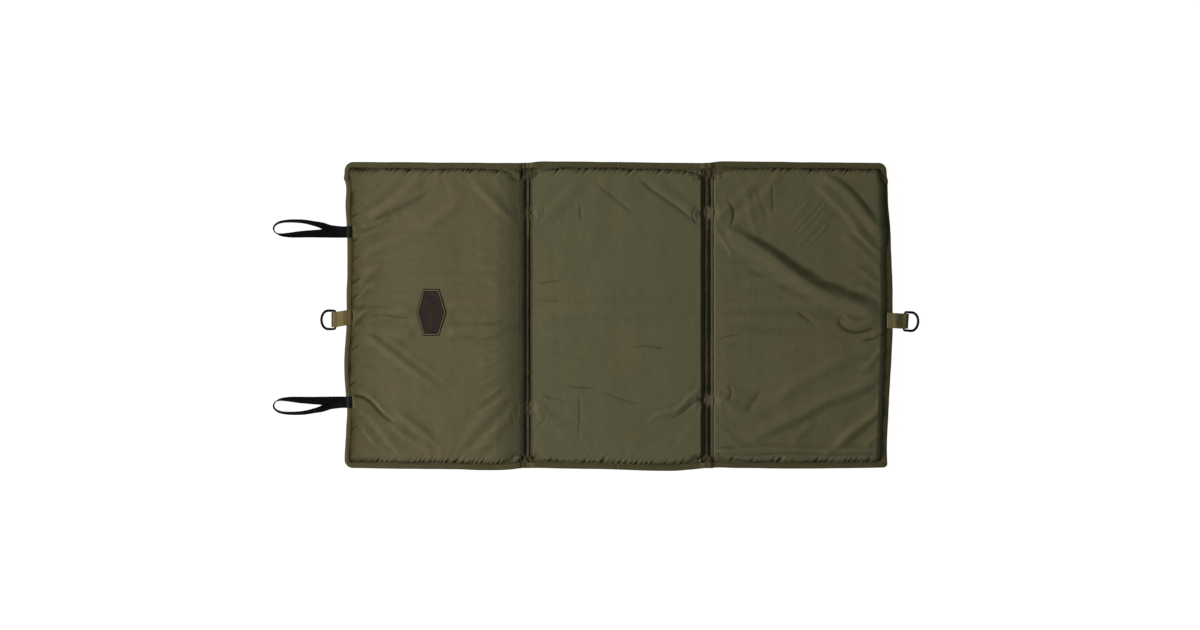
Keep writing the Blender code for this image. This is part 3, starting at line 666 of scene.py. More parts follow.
def relief_middle(X, Y, H, crease_shade):
    c = creaser(X, Y, H, crease_shade)
    c([(590, 178), (603, 189.5), (615, 199), (631, 212), (642, 225)], -0.32, 2.6, 3.6)
    c([(636, 176), (652, 190.5), (671, 203.5), (685, 214), (700, 226)], -0.5, 3.0, 4.2, (0.2, 0.2))
    c([(648, 176), (664, 190), (684, 204), (700, 214)], 0.35, 5, 7)
    c([(580.2, 203), (580.4, 212), (580.9, 222)], -0.42, 1.7, 1.7, (0.3, 0.3))
    c([(543, 206), (543.5, 213), (544, 220)], -0.25, 1.5, 1.5)
    c([(536, 283.5), (550, 282), (566, 279.5)], -0.3, 2.0, 2.0)
    c([(535, 300), (548, 300.5), (562, 301.5)], -0.22, 2.0, 2.0)
    c([(628, 347.5), (650, 346.6), (672, 350.5)], -0.38, 2.2, 2.2)
    c([(566, 386), (586, 388), (600, 387)], -0.32, 2.0, 2.0)
    c([(579, 391), (579.8, 417), (578, 443)], -0.32, 1.7, 1.7)
    c([(701, 390), (691, 396), (684, 404), (676, 410), (660, 414.5), (650, 421), (641, 433)],
      0.85, 3.5, 5, (0.05, 0.5))
    c([(704, 396), (694, 402), (686, 409), (676, 416), (662, 420)], -0.5, 3, 4, (0.05, 0.5))
    c([(598, 391), (615, 397), (632, 402), (648, 404)], -0.25, 3, 3)
    # round the tacks
    c([(536, 407), (542, 411), (545.5, 417), (542, 423), (536, 425)], -0.32, 1.3, 1.6, (0.2, 0.2))
    c([(536, 207), (540, 212), (540.5, 218), (536, 223)], -0.25, 1.3, 1.6, (0.2, 0.2))
    c([(698.5, 206), (693.6, 211), (693.4, 219), (698.5, 226)], -0.55, 1.4, 1.8, (0.2, 0.2), 0.45)
    c([(699.5, 209), (696.9, 213), (696.9, 219), (699.5, 223)], -0.40, 1.0, 1.3, (0.2, 0.2), 0.45)
    c([(536, 352), (560, 358), (590, 362)], 0.2, 4, 4)
    c([(540, 395), (556, 399), (570, 402)], -0.2, 2.5, 2.5)
    c([(548, 428), (566, 420), (582, 416)], 0.22, 5, 5)
    c([(668, 300), (684, 306), (700, 309)], 0.2, 4, 4)
    c([(676, 445), (688, 432), (700, 422)], 0.25, 5, 5)
    for k in range(9):
        y = 262 + 21 * k
        x = 548 + 36 * (1 + math.sin(k * 2.1))
        c([(x, y), (x + 24, y + 1), (x + 52, y + 2.4)], 0.12, 2.6, 2.6, (0.4, 0.4))


def relief_right(X, Y, H, crease_shade):
    c = creaser(X, Y, H, crease_shade)
    # the long fold from the tack to the right edge: steep on its rear side
    c([(724, 226), (732, 234), (749, 243.5), (773, 258), (794, 273.5), (817, 289), (841, 299.5),
       (872, 311), (886, 316)], 2.9, 8.4, 18, (0.12, 0.12))
    c([(738, 230), (752, 237), (776, 251), (798, 266), (823, 281), (848, 292), (878, 304)], -0.35, 9, 9, (0.2, 0.15), 0.30)
    c([(780, 259), (800, 273), (824, 288), (846, 297)], 0.0, 6, 6, (0.4, 0.4), 0.20)
    c([(740, 262), (762, 276), (790, 292), (815, 303)], -0.5, 7, 7, dark=0)
    c([(752, 270), (775, 286), (800, 300), (822, 316)], 0.45, 7, 7)
    # the short fold across the rear right corner
    c([(818, 172), (834, 181), (848, 192), (860, 206), (873, 224), (882, 236)], 1.5, 5, 12, (0.15, 0.12))
    c([(836, 177), (849, 187), (861, 200), (870, 212), (877, 223)], 0.0, 4.0, 4.0, (0.2, 0.25), 0.34)
    c([(806, 176), (824, 192), (842, 210), (858, 230), (872, 250), (881, 262)], 0.9, 7, 7)
    c([(838, 232), (856, 246), (872, 262), (883, 280)], 0.55, 6, 6)
    c([(850, 226), (864, 240), (878, 253)], 0.6, 4, 5, (0.3, 0.1))
    c([(846, 262), (862, 272), (880, 288)], 0.5, 4, 5, (0.3, 0.1))
    c([(856, 284), (868, 291), (884, 302)], 0.6, 3.5, 4.5, (0.3, 0.1))
    # fine parallel lines
    for k, (x, y, n) in enumerate(((786, 239, 46), (791, 242, 48), (798, 241, 46), (805, 238, 40),
                                   (812, 234, 30), (782, 230, 38), (792, 252, 40), (804, 250, 34))):
        c([(x, y), (x + n * 0.5, y - n * 0.53), (x + n * 0.86, y - n * 1.0)], 0.27, 1.9, 1.5, (0.3, 0.3))
    c([(772.5, 180), (772.0, 198), (773.5, 216)], -0.35, 2.4, 2.4)
    c([(742, 182), (748, 200), (752, 222), (762, 240)], 0.35, 6, 6)
    c([(756, 188), (762, 206), (768, 226)], -0.25, 4, 4)
    # the bulge beside the tack, and the crease round it
    x, y = at(722, 214)
    H += 0.55 * MM * np.exp(-(((X - x) / 0.012) ** 2 + ((Y - y) / 0.014) ** 2))
    c([(725, 200), (731, 205), (733.6, 213), (732.2, 222), (728, 229)], -0.55, 2.4, 2.8, (0.25, 0.3))
    c([(715, 228), (722, 238), (730, 252), (736, 268)], 0.5, 4, 4, (0.1, 0.6))
    # towards the right tab
    c([(836, 316), (840, 325), (848, 331), (860, 332), (874, 327)], -0.85, 3.6, 3.6, (0.2, 0.2))
    c([(842, 313), (850, 321), (862, 323), (876, 319)], 0.6, 4, 4, (0.2, 0.2))
    c([(795, 311), (808, 320), (821, 332)], -0.35, 3, 4)
    c([(868, 338), (876, 333), (885, 326)], 0.6, 3, 4, (0.3, 0.05))
    c([(858, 342), (872, 338), (885, 331)], -0.45, 2.6, 3, (0.3, 0.05))
    c([(718, 340), (730, 336), (744, 334.5)], -0.32, 2.4, 2.4)
    # slanting folds of the front half
    c([(884, 345), (876, 353), (868, 364), (856, 374)], 0.8, 5, 5, (0.1, 0.5))
    c([(872, 348), (840, 361), (804, 380), (768, 406), (752, 418)], 0.85, 9, 12)
    c([(884, 374), (858, 389), (828, 400.5), (803, 414.5), (775, 427), (742, 444)], 1.4, 6, 14, (0.1, 0.3))
    c([(884, 396), (875, 413), (858, 428), (842, 442), (834, 452)], 1.15, 5.5, 8, (0.08, 0.3))
    c([(884, 408), (876, 416), (866, 424)], 0.7, 3, 5, (0.1, 0.5))
    c([(884, 432), (874, 440), (862, 450)], 0.7, 4, 6, (0.1, 0.4))
    c([(816, 420), (800, 434), (788, 450)], 0.5, 6, 8)
    c([(762, 388), (752, 402), (744, 416)], -0.45, 6, 6)
    c([(728, 384), (731, 393), (727, 402)], -0.4, 2.6, 2.6)
    c([(712, 449.5), (728, 448.5), (744, 449)], -0.35, 2, 2)
    # the front edge slopes down from a line, in long flat creases
    c([(712, 450.5), (742, 450), (780, 449.2), (820, 450.5), (866, 451), (884, 450)], 1.05, 3.2, 9, (0.1, 0.05))
    c([(716, 454), (752, 455), (790, 453.5), (830, 455), (884, 454.5)], -0.45, 3.2, 3.2, (0.2, 0.05), 0.22)
    c([(748, 459), (786, 457), (820, 459), (860, 457.5), (884, 458.5)], 0.5, 1.8, 2.6, (0.3, 0.1))
    c([(830, 460.5), (856, 459.5), (884, 461.5)], -0.4, 1.8, 1.8, (0.3, 0.05), 0.3)
    c([(800, 346), (790, 352), (774, 358)], 0.3, 6, 6)


def relief_base(X, Y, H, seed, x0, x1):
    """Quieter creases for the underside, which lies on the ground."""
    rng = np.random.RandomState(seed)
    for _ in range(16):
        cx = x0 + (x1 - x0) * rng.rand()
        cy = -0.22 + 0.44 * rng.rand()
        t = rng.rand() * math.pi
        n = 0.03 + 0.06 * rng.rand()
        bow = (rng.rand() - 0.5) * 0.02
        pts = [(cx - n * math.cos(t), cy - n * math.sin(t)),
               (cx - bow * math.sin(t), cy + bow * math.cos(t)),
               (cx + n * math.cos(t), cy + n * math.sin(t))]
        crease(X, Y, H, pts, -0.45 * MM, (2.5 + 4 * rng.rand()) * MM, None, (0.4, 0.4))


def corner_r(s, t):
    """Radius of the outline's corner: the front right one is nearly square."""
    return 0.0078 if (s, t) == (1, -1) else CORNER_R


def corner_warp(x, y, pad, inset):
    """Brings the flange's square corners onto the outline's rounded ones."""
    for s_out, x_edge, s in ((pad.out_l, pad.x0, -1), (pad.out_r, pad.x1, 1)):
        if not s_out:
            continue
        for t in (1, -1):
            r0 = corner_r(s, t)
            cx, cy = x_edge - s * r0, t * (EDGE_Y - r0)
            u, v = (x - cx) * s, (y - cy) * t
            m = (u > 0) & (v > 0)
            if m.any():
                r = np.maximum(u, v)[m] / np.maximum(np.hypot(u, v)[m], 1e-9)
                x[m] = cx + s * u[m] * r
                y[m] = cy + t * v[m] * r


def cubic(coarse, fine):
    """Weights that carry values at even coarse places over to fine ones, smoothly."""
    h = coarse[1] - coarse[0]
    n = len(coarse)
    t = np.clip((fine - coarse[0]) / h, 0, n - 1.001)
    i = np.floor(t).astype(int)
    u = t - i
    W = np.zeros((len(fine), n))
    rows = np.arange(len(fine))
    for off, w in ((-1, -0.5 * u + u ** 2 - 0.5 * u ** 3), (0, 1 - 2.5 * u ** 2 + 1.5 * u ** 3),
                   (1, 0.5 * u + 2 * u ** 2 - 1.5 * u ** 3), (2, -0.5 * u ** 2 + 0.5 * u ** 3)):
        np.add.at(W, (rows, np.clip(i + off, 0, n - 1)), w)
    return W


def blur(A, n):
    """Gaussian blur of a grid by n cells."""
    r = int(3 * n) + 1
    w = np.exp(-0.5 * (np.arange(-r, r + 1) / n) ** 2)
    w /= w.sum()
    for axis in (0, 1):
        B = np.pad(A, [(r, r) if k == axis else (0, 0) for k in (0, 1)], mode="edge")
        A = sum(w[k] * np.take(B, np.arange(k, k + A.shape[axis]), axis=axis) for k in range(2 * r + 1))
    return A


def drape(pad, seed, bend, pressure, grow, tacks):
    """Cloth simulation of the panel's top fabric over its foam.  The fabric is a little
    larger than the foam, so it swells and wrinkles; it is held along its seams, which are
    gathered, and pulled towards the folds' bar tacks.  Gives the grid's x and y, and how
    far the wrinkles rise there."""
    step, frames = 0.0045, 25
    yw = EDGE_Y - WALL_IN
    xs = np.linspace(pad.wl, pad.wr, int((pad.wr - pad.wl) / step) + 1)
    ys = np.linspace(-yw, yw, int(2 * yw / step) + 1)
    X, Y = np.meshgrid(xs, ys, indexing="ij")
    f = np.ones_like(X)
    for d, r in ((X - pad.wl, 0.007), (pad.wr - X, 0.007), (Y + yw, 0.012), (yw - Y, 0.012)):
        f = f * np.sqrt(1 - np.clip(1 - d / r, 0, 1) ** 2)
    Z = 0.0105 + 0.0070 * f
    rng = np.random.RandomState(seed)
    rest = np.stack([X, Y, Z + 0.0001 * rng.randn(*Z.shape) * (f > 0.05)], -1)
    idx = np.arange(X.size).reshape(X.shape)
    quads = np.stack([idx[:-1, :-1], idx[1:, :-1], idx[1:, 1:], idx[:-1, 1:]], -1).reshape(-1, 4).tolist()

    # the seams' gathers slide the border along itself, and the tacks draw it outwards
    near = lambda d: np.exp(-(d / 0.012) ** 2)  # noqa: E731
    held = rest.copy()
    for wall, face in ((pad.wl, -1), (pad.wr, 1)):
        held[..., 1] += 0.0016 * near(X - wall) * noise(Y, Y * 0 + wall, 0.021, seed + 60)
        for ty in tacks.get(face, ()):
            pull = near(X - wall) * np.exp(-((Y - ty) / 0.011) ** 2)
            held[..., 0] += face * 0.0045 * pull
            held[..., 2] -= 0.0025 * pull * (f > 0.05)
    for edge in (-yw, yw):
        held[..., 0] += 0.0020 * near(Y - edge) * noise(X, X * 0 + edge, 0.017, seed + 61)

    scene = bpy.context.scene
    made = []
    for name, P in (("drape_cloth", rest), ("drape_foam", np.stack([X, Y, Z - 0.0012], -1))):
        me = bpy.data.meshes.new(name)
        me.from_pydata(P.reshape(-1, 3).tolist(), [], quads)
        me.update()
        ob = bpy.data.objects.new(name, me)
        scene.collection.objects.link(ob)
        made.append(ob)
    cloth, foam = made
    cloth.shape_key_add(name="Basis")
    key = cloth.shape_key_add(name="held")
    key.data.foreach_set("co", held.reshape(-1).tolist())
    key.value = 1.0
    foam.modifiers.new("foam", "COLLISION")
    foam.collision.thickness_outer = 0.001
    foam.collision.cloth_friction = 5
    border = cloth.vertex_groups.new(name="seam")
    border.add([int(v) for v in np.unique(np.concatenate([idx[0], idx[-1], idx[:, 0], idx[:, -1]]))], 1.0, "REPLACE")
    mod = cloth.modifiers.new("cloth", "CLOTH")
    st = mod.settings
    st.quality, st.mass, st.air_damping = 5, 0.3, 2
    st.tension_stiffness, st.compression_stiffness, st.shear_stiffness = 15, 15, 3
    st.bending_stiffness = bend
    st.shrink_min = st.shrink_max = -grow
    st.rest_shape_key = cloth.data.shape_keys.key_blocks["Basis"]
    st.vertex_group_mass = "seam"
    st.use_pressure, st.uniform_pressure_force = True, pressure
    st.effector_weights.gravity = 0
    mod.collision_settings.use_collision = True
    mod.collision_settings.distance_min = 0.001
    mod.collision_settings.use_self_collision = False
    mod.point_cache.frame_start, mod.point_cache.frame_end = 1, frames
    for k in range(1, frames + 1):
        scene.frame_set(k)
    seen = cloth.evaluated_get(bpy.context.evaluated_depsgraph_get())
    me = seen.to_mesh()
    v = np.zeros(len(me.vertices) * 3)
    me.vertices.foreach_get("co", v)
    seen.to_mesh_clear()
    rise = v.reshape(X.shape + (3,))[..., 2] - Z
    scene.frame_set(1)
    for ob in made:
        me = ob.data
        bpy.data.objects.remove(ob)
        bpy.data.meshes.remove(me)
    rise = np.clip(rise, -0.004, 0.006)
    rise = blur(rise, 0.7) - blur(rise, 5.5)
    rise *= smooth(f / 0.9)
    print("drape %s: sd %.2f mm, %.2f to %.2f" % (pad.name, rise.std() * 1e3, rise.min() * 1e3, rise.max() * 1e3))
    return xs, ys, rise


DRAPES = {
    "left": dict(seed=4, bend=6, pressure=0.6, grow=0.016, tacks={1: TACKS["left"]}),
    "middle": dict(seed=9, bend=9, pressure=0.7, grow=0.012,
                   tacks={-1: TACKS["left"], 1: TACKS["right"]}),
    "right": dict(seed=15, bend=6, pressure=0.6, grow=0.017, tacks={-1: TACKS["right"]}),
}


def strapped(y):
    """One at the left end's straps, none between them."""
    out = 0.0
    for yc, half in ((TAB_Y_L, 0.0145), (REAR_LOOP_Y, 0.0105), (FRONT_LOOP_Y, 0.0105)):
        out = out + np.exp(-(np.abs(y - yc) / half) ** 8)
    return out


def pad_half(pad, up, step):
    """Half of a padded panel as a closed mesh: the fabric's outside down to the seam's
    plane, the flange that runs out under the tape, and the flat face at the seam."""
    edge = 0.0012
    # the flange reaches the tape's inside; on a fold's side it stops at the wall
    out = [WALL_IN - edge, 8.0 * MM, 6.0 * MM, 4.0 * MM, 2.0 * MM, 0.9 * MM, 0.25 * MM]
    xs = graded(pad.wl, pad.wr, step * 0.85)
    ys = graded(-(EDGE_Y - WALL_IN), EDGE_Y - WALL_IN, step)
    xs = np.concatenate([
        [pad.wl - d for d in out] if pad.out_l else [], xs,
        [pad.wr + d for d in out[::-1]] if pad.out_r else []])
    ys = np.concatenate([[-(EDGE_Y - WALL_IN) - d for d in out], ys,
                         [(EDGE_Y - WALL_IN) + d for d in out[::-1]]])
    X, Y = np.meshgrid(xs, ys, indexing="ij")
    nx, ny = X.shape

    s = dict(pad.soft)
    seed = {"left": 11, "middle": 23, "right": 37}[pad.name] + (0 if up else 50)
    yw = EDGE_Y - WALL_IN
    if not up:
        s = {k: min(v, 0.009) for k, v in s.items()}
    fade = lambda d, n: np.exp(-(np.maximum(d, 0) / n) ** 1.6)  # noqa: E731

    # how far in from each seam, with the fabric's gathers; tucks lean up to the right
    DL, DR, DT, DB = X - pad.wl, pad.wr - X, yw - Y, yw + Y
    depth = 0.0037 if up else 0.0022
    marks = [at(p, 0)[0] for p in (TUCKS_REAR if up else ())]
    gt = gathers(X + 0.9 * np.maximum(DT, 0), seed + 4, 0.0035, 0.013, depth, marks)
    marks = [at(p, 0)[0] for p in (TUCKS_FRONT if up else ())]
    gb = gathers(X - 0.9 * np.maximum(DB, 0), seed + 5, 0.0035, 0.013, depth, marks)
    # both long edges waver, and draw in towards the ends of the folds
    side = np.minimum(np.where(pad.out_l, 1.0, DL), np.where(pad.out_r, 1.0, DR))
    droop = np.exp(-(np.maximum(side, 0) / 0.021) ** 1.3) if up else 0.0 * X
    sway = 0.0007 if up else 0.0
    dt = DT - 0.0003 - gt * fade(DT, 0.0085) - 0.0075 * droop - sway * (1 + noise(X, X * 0 + 1.7, 0.027, seed + 21))
    db = DB - 0.0003 - gb * fade(DB, 0.0085) - 0.0055 * droop - sway * (1 + noise(X, X * 0 + 6.7, 0.027, seed + 22))
    tuck = -0.58 * (gt * fade(DT, 0.0095) * smooth(DT / 0.0015)
                    + gb * fade(DB, 0.0095) * smooth(DB / 0.0015)) if up else 0.0
    gl = gr = np.zeros_like(X)
    if pad.out_l:
        marks = [at(0, p)[1] for p in TUCKS_LEFT] if up else []
        gl = 0.35 * gathers(Y - 0.75 * np.maximum(DL, 0), seed + 6, 0.007, 0.030, depth, marks)
        dl = DL - 0.0003 - 0.5 * gl * fade(DL, 0.0075)
        tuck = tuck - 0.30 * gl * fade(DL, 0.0085) * smooth(DL / 0.0015)
    else:
        dl = DL - 0.0002 - fade(DL, 0.003) * (0.0003 * (1 + noise(Y, Y * 0 + 3.3, 0.016, seed + 6))
                                                + 0.0003 * (1 + noise(Y, Y * 0 + 8.3, 0.004, seed + 26)))
    if pad.out_r:
        gr = gathers(Y + 0.75 * np.maximum(DR, 0), seed + 7, 0.008, 0.026, depth * 0.8)
        dr = DR - 0.0003 - 0.5 * gr * fade(DR, 0.0075)
    else:
        dr = DR - 0.0003 * (1 + noise(Y, Y * 0 + 5.1, 0.018, seed + 7)) * fade(DR, 0.004)
    # from the rear right corner down, the pad's side hangs out over the tape
    hang = np.zeros_like(X)
    if pad.out_r and up:
        y0, y1, y2 = at(0, 268)[1], at(0, 226)[1], at(0, 179)[1]
        hang = smooth((Y - y0) / (y1 - y0)) * smooth((y2 - Y) / 0.010) * (DR >= -1e-9)
    right = "slope" if pad.name == "left" and up else "chamfer" if pad.out_r and up else "round"
    F = shoulder(1 - dl / s["l"], "round") * shoulder(1 - dr / (s["r"] * (1 + 0.3 * hang)), right)
    F = F * shoulder(1 - dt / s["t"], "round") * shoulder(1 - db / s["b"], "round")
    # along both long edges the fabric steps down to the tape over a narrow ledge
    ledge = np.minimum(dt, db) - 0.0036 - 0.0015 * noise(X, X * 0 + 4.4, 0.013, seed + 33)
    if up:
        F = F * (0.76 + 0.24 * smooth((ledge + 0.0006) / 0.0022))
    # at the folds' ends the foam's corners are round, and the fabric is pinched over them
    pinch = np.ones_like(X)
    if up:
        for d, free in ((DL, not pad.out_l), (DR, not pad.out_r)):
            if free:
                for e in (DT, DB):
                    r = 0.0110
                    u, v = np.maximum(r - d, 0), np.maximum(r - (e - 0.002), 0)
                    c = np.clip((r - np.hypot(u, v)) / 0.0075, 0, 1)
                    pinch *= np.where((u > 0) & (v > 0), np.sqrt(1 - (1 - c) ** 2), 1.0)
    F = F * (0.22 + 0.78 * pinch)

    flange = SEAM_Z + 0.0004
    cx, cy = (pad.wl + pad.wr) / 2, 0.0
    hx, hy = (pad.wr - pad.wl) / 2, yw
    crown = (1 - np.clip(np.abs(X - cx) / hx, 0, 1) ** 2.4) * (1 - np.clip(np.abs(Y - cy) / hy, 0, 1) ** 2.6)
    H, crease_shade, furrow = np.zeros_like(X), np.zeros_like(X), np.zeros_like(X)
    if up:
        top = 0.0174 + 0.0008 * crown
        {"left": relief_left, "middle": relief_middle, "right": relief_right}[pad.name](X, Y, H, crease_shade)
        for fold, sgn in (("left", -1), ("right", 1)):
            for ty in TACKS[fold]:
                for wall, face in ((pad.wl, 1), (pad.wr, -1)):
                    if abs(wall - sgn * FOLD_X) < 0.012:
                        start = -math.pi / 2 if face > 0 else math.pi / 2
                        low = fold == "left" and face > 0
                        pucker(X, Y, H, wall - face * 0.001, ty, 0.014, 0.0005 if low else 0.0009, 5, start,
                               math.pi, 0.0012 if low else 0.0022)
        if pad.name in FABRIC:
            gx, gy, rise = FABRIC[pad.name]
            H += DRAPE_SHARE[pad.name] * (cubic(gx, X[:, 0]) @ rise @ cubic(gy, Y[0]).T)
        if pad.name == "left":
            # the badge is sewn on, and holds the fabric flat
            far = np.maximum(np.abs(X - BADGE[0]) / (BADGE_SIZE[0] / 2), np.abs(Y - BADGE[1]) / (BADGE_SIZE[1] / 2))
            H *= 0.15 + 0.85 * smooth((far - 1.0) / 0.55)
        H += 0.22 * MM * noise(X, Y, 0.034, seed + 8) + 0.10 * MM * noise(X + 0.3 * Y, Y, 0.012, seed + 9)
        H += 0.05 * MM * noise(X, Y, 0.005, seed + 10)
        furrow = fan(X, Y)
        # the relief is full on the face and keeps a share down the rounding
        Z = flange + (top - flange) * F + H * (0.3 + 0.7 * smooth(F)) * smooth(F / 0.25)
        Z = Z + tuck * smooth(F / 0.2) - 0.0022 * furrow * smooth(F / 0.15)
        # loose fabric between the drawn-in edge and the tape
        ends_ = np.minimum(DT, DB)
        loose = droop * smooth(ends_ / 0.0020) * smooth(np.maximum(side, 0) / 0.0012) * (1 - smooth((ends_ - 0.009) / 0.010))
        Z = np.maximum(Z, flange + loose * (0.0034 - 0.0030 * furrow))
        Z = np.maximum(Z, flange + 0.0021 * hang)
        # the faces of two folded panels meet first at their fold
        near = np.minimum(DL + (1 if pad.out_l else 0), DR + (1 if pad.out_r else 0))
        high = 0.0196 + 0.0014 * smooth((near - 0.015) / 0.05) + 0.0025 * smooth((near - 0.06) / 0.08)
        knee = high - 0.0006
        Z = np.where(Z > knee, knee + 0.0006 * np.tanh((Z - knee) / 0.0006), Z)
    else:
        relief_base(X, Y, H, seed, pad.wl, pad.wr)
        H += 0.10 * MM * (noise(X, Y, 0.03, seed + 8) - 1)
        top = 0.0200 - 0.0002
        Z = flange + (top - flange) * F + H * smooth(F / 0.4)
        Z = np.minimum(Z, 0.0200)
    Z = np.maximum(Z, flange)

    # painted shade in the tucks, along the seams and down in the creases
    hollow = blur(Z, 3.0) - Z
    soil = np.zeros_like(X)
    if up:
        share = 0.66 * np.maximum(gt / depth * fade(DT, 0.0070), gb / depth * fade(DB, 0.0070))
        share = np.maximum(share, 0.5 * gl / depth * fade(DL, 0.0050))
        seam = np.minimum(np.minimum(DT, DB), DL if pad.out_l else 1.0)
        # painted shade along the seams, a little patchy
        worn = 0.24 + 0.26 * noise(X, Y, 0.019, seed + 31)
        soil = np.maximum(share, worn * np.exp(-(np.maximum(seam, 0) / 0.0044) ** 2))
        # painted shade on the ledge by the tape
        soil = soil + 0.14 * (1 - smooth(ledge / 0.0014))
        soil = np.maximum(soil, crease_shade)
        # painted shade in the furrows that fan out from the folds' ends
        soil = np.maximum(soil, 0.85 * furrow)
        # painted shade in hollows of the flat face
        flat = smooth((F - 0.80) / 0.2)
        soil = soil + 0.30 * np.clip(hollow / 0.0006, 0, 1) * flat
        # painted shade down the pad's rounding; on the left panel only away from its long slope to the fold
        slope = 0.21 * (1 - smooth((F - 0.2) / 0.75)) * smooth(F / 0.1)
        soil = soil + slope * (smooth((DR - 0.036) / 0.010) if pad.name == "left" else 1.0)
        # painted shade on the right end's side, which hangs out over the tape and faces away from the light
        soil = soil + 0.50 * hang * (1 - smooth((DR - 0.003) / 0.010))
        # painted shade on the edges and walls that face the light on the left
        if pad.out_l:
            soil = soil + 0.40 * np.exp(-(np.maximum(DL - 0.0006, 0) / 0.0026) ** 2)
            soil = soil + 0.34 * np.exp(-(np.maximum(DL, 0) / 0.024) ** 1.5)
            soil = soil * (1 - 0.55 * strapped(Y) * np.exp(-(np.maximum(DL, 0) / 0.006) ** 2))
        else:
            lit_edge_shade = 0.74 if pad.name == "middle" else 0.26
            soil = soil + lit_edge_shade * np.exp(-(np.maximum(DL, 0) / 0.0028) ** 2.4)
        # painted shade on the left panel's long slope down to the fold, which faces away from the light
        if pad.name == "left":
            soil = soil + 0.09 * smooth((0.030 - DR) / 0.024)
    soil = np.clip(soil + {"left": 0.07, "middle": 0.0, "right": 0.05}[pad.name], 0, 1)
    # painted light and shade as tone: browner where the cloth faces the light on the left, greener where it faces away
    gx = np.gradient(Z, xs, axis=0)
    gy = np.gradient(Z, ys, axis=1)
    shade = {"left": 0.62, "middle": 0.22, "right": 0.27}[pad.name]
    if pad.name == "left" and up:                  # greener where it slopes to the fold
        shade = shade - 0.40 * smooth((0.036 - DR) / 0.022)
    lean = np.clip(shade + 0.42 * np.tanh(9.0 * (gx - 0.25 * gy)) * smooth((F - 0.7) / 0.3), 0, 1)

    x, y = X.copy(), Y.copy()
    # between the tucks the filling pushes the walls out, over the tape's edge
    span = np.clip((Z - flange) / 0.0078, 0, 1)
    lobe = np.sin(np.pi * np.clip(span, 0, 1)) ** 0.7 * smooth(F / 0.1)
    puff = (0.0024 if up else 0.0012) * lobe
    open_ = lambda g: 1 - 0.8 * np.clip(g / depth, 0, 1)  # noqa: E731
    y += puff * fade(DT, 0.008) * open_(gt) * (DT >= -1e-9)
    y -= puff * fade(DB, 0.008) * open_(gb) * (DB >= -1e-9)
    if pad.out_l:
        # the straps' sewn ends press the fabric back
        free = 1 - 0.55 * strapped(Y)
        x -= puff * fade(DL, 0.006) * (DL >= -1e-9) * free
        x -= (0.0024 if up else 0.0) * (1 - smooth(DL / 0.014)) * (DL >= -1e-9) * free
    if pad.out_r:
        x += 0.6 * puff * fade(DR, 0.006) * open_(gr) * (DR >= -1e-9)
        x += 0.0086 * hang * (1 - smooth(DR / 0.016))
    corner_warp(x, y, pad, edge)
    # both long edges waver, and the right end bows out
    rim_t, rim_b = np.clip(Y / yw, 0, 1.05) ** 6, np.clip(-Y / yw, 0, 1.05) ** 6
    y -= np.array([long_edge(v, 1) for v in xs])[:, None] * rim_t
    y += np.array([long_edge(v, -1) for v in xs])[:, None] * rim_b
    if pad.out_r:
        x += (bulge(y) - 0.0019 * middle_right(y)) * np.clip((x - cx) / hx, 0, 1.1) ** 3
    if pad.out_l:
        x += 0.6 * left_bow(y) * np.clip((cx - x - 0.6 * hx) / (0.4 * hx), 0, 1.1) ** 2
    plane = SEAM_Z + 0.00005
    if not up:
        Z, plane = 2 * SEAM_Z - Z, 2 * SEAM_Z - plane
    V = np.stack([x, y, Z], -1).reshape(-1, 3)
    idx = np.arange(nx * ny).reshape(nx, ny)
    quads = np.stack([idx[:-1, :-1], idx[1:, :-1], idx[1:, 1:], idx[:-1, 1:]], -1).reshape(-1, 4)
    # rim: the border of the grid, dropped to the seam's plane, then one face across
    rim = np.concatenate([idx[:, 0], idx[-1, 1:], idx[-2::-1, -1], idx[0, -2:0:-1]])
    low = V[rim].copy()
    low[:, 2] = plane
    base = len(V)
    k = len(rim)
    sides = [(rim[i], base + i, base + (i + 1) % k, rim[(i + 1) % k]) for i in range(k)]
    faces = [tuple(q) for q in quads.tolist()] + [tuple(map(int, q)) for q in sides]
    faces.append(tuple(base + i for i in range(k))[::-1])
    uv = np.concatenate([np.stack([X, Y], -1).reshape(-1, 2), low[:, :2]])
    ob = mesh_object(
        ("pad_top_" if up else "pad_base_") + pad.name, np.concatenate([V, low]), faces, uv,
        [NYLON if up else BASE])
    fix_normals(ob)
    paint(ob, soil=np.concatenate([soil.ravel(), soil.ravel()[rim]]),
          lean=np.concatenate([lean.ravel(), lean.ravel()[rim]]))
    return ob


def paint(ob, **values):
    """One number for each vertex, under each name, for the materials to read."""
    for name, v in values.items():
        a = ob.data.attributes.new(name, "FLOAT", "POINT")
        a.data.foreach_set("value", np.asarray(v, np.float32))


FABRIC = {}
DRAPE_SHARE = {"left": 0.60, "middle": 0.30, "right": 0.42}
for pad in (LEFT, MIDDLE, RIGHT):
    FABRIC[pad.name] = drape(pad, **DRAPES[pad.name])

STEP = 0.0019
tops = {}
for pad in (LEFT, MIDDLE, RIGHT):
    top = pad_half(pad, True, STEP)
    base = pad_half(pad, False, 0.005)
    tops[pad.name] = top
    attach(top, pad.body)
    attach(base, pad.body)
    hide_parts("top_cover_" + pad.name, "foam_pad_" + pad.name)
    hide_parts("base_cover_" + pad.name)


# ------------------------------------------------------------------ folds
# how far each tack's fabric bridges the groove, for the rear and the front tack
BRIDGE = {("left", "inner"): (0.25, 0.45), ("left", "outer"): (0.35, 0.30),
          ("right", "inner"): (0.30, 0.20), ("right", "outer"): (1.0, 0.65)}


WELT_L = 0.0047


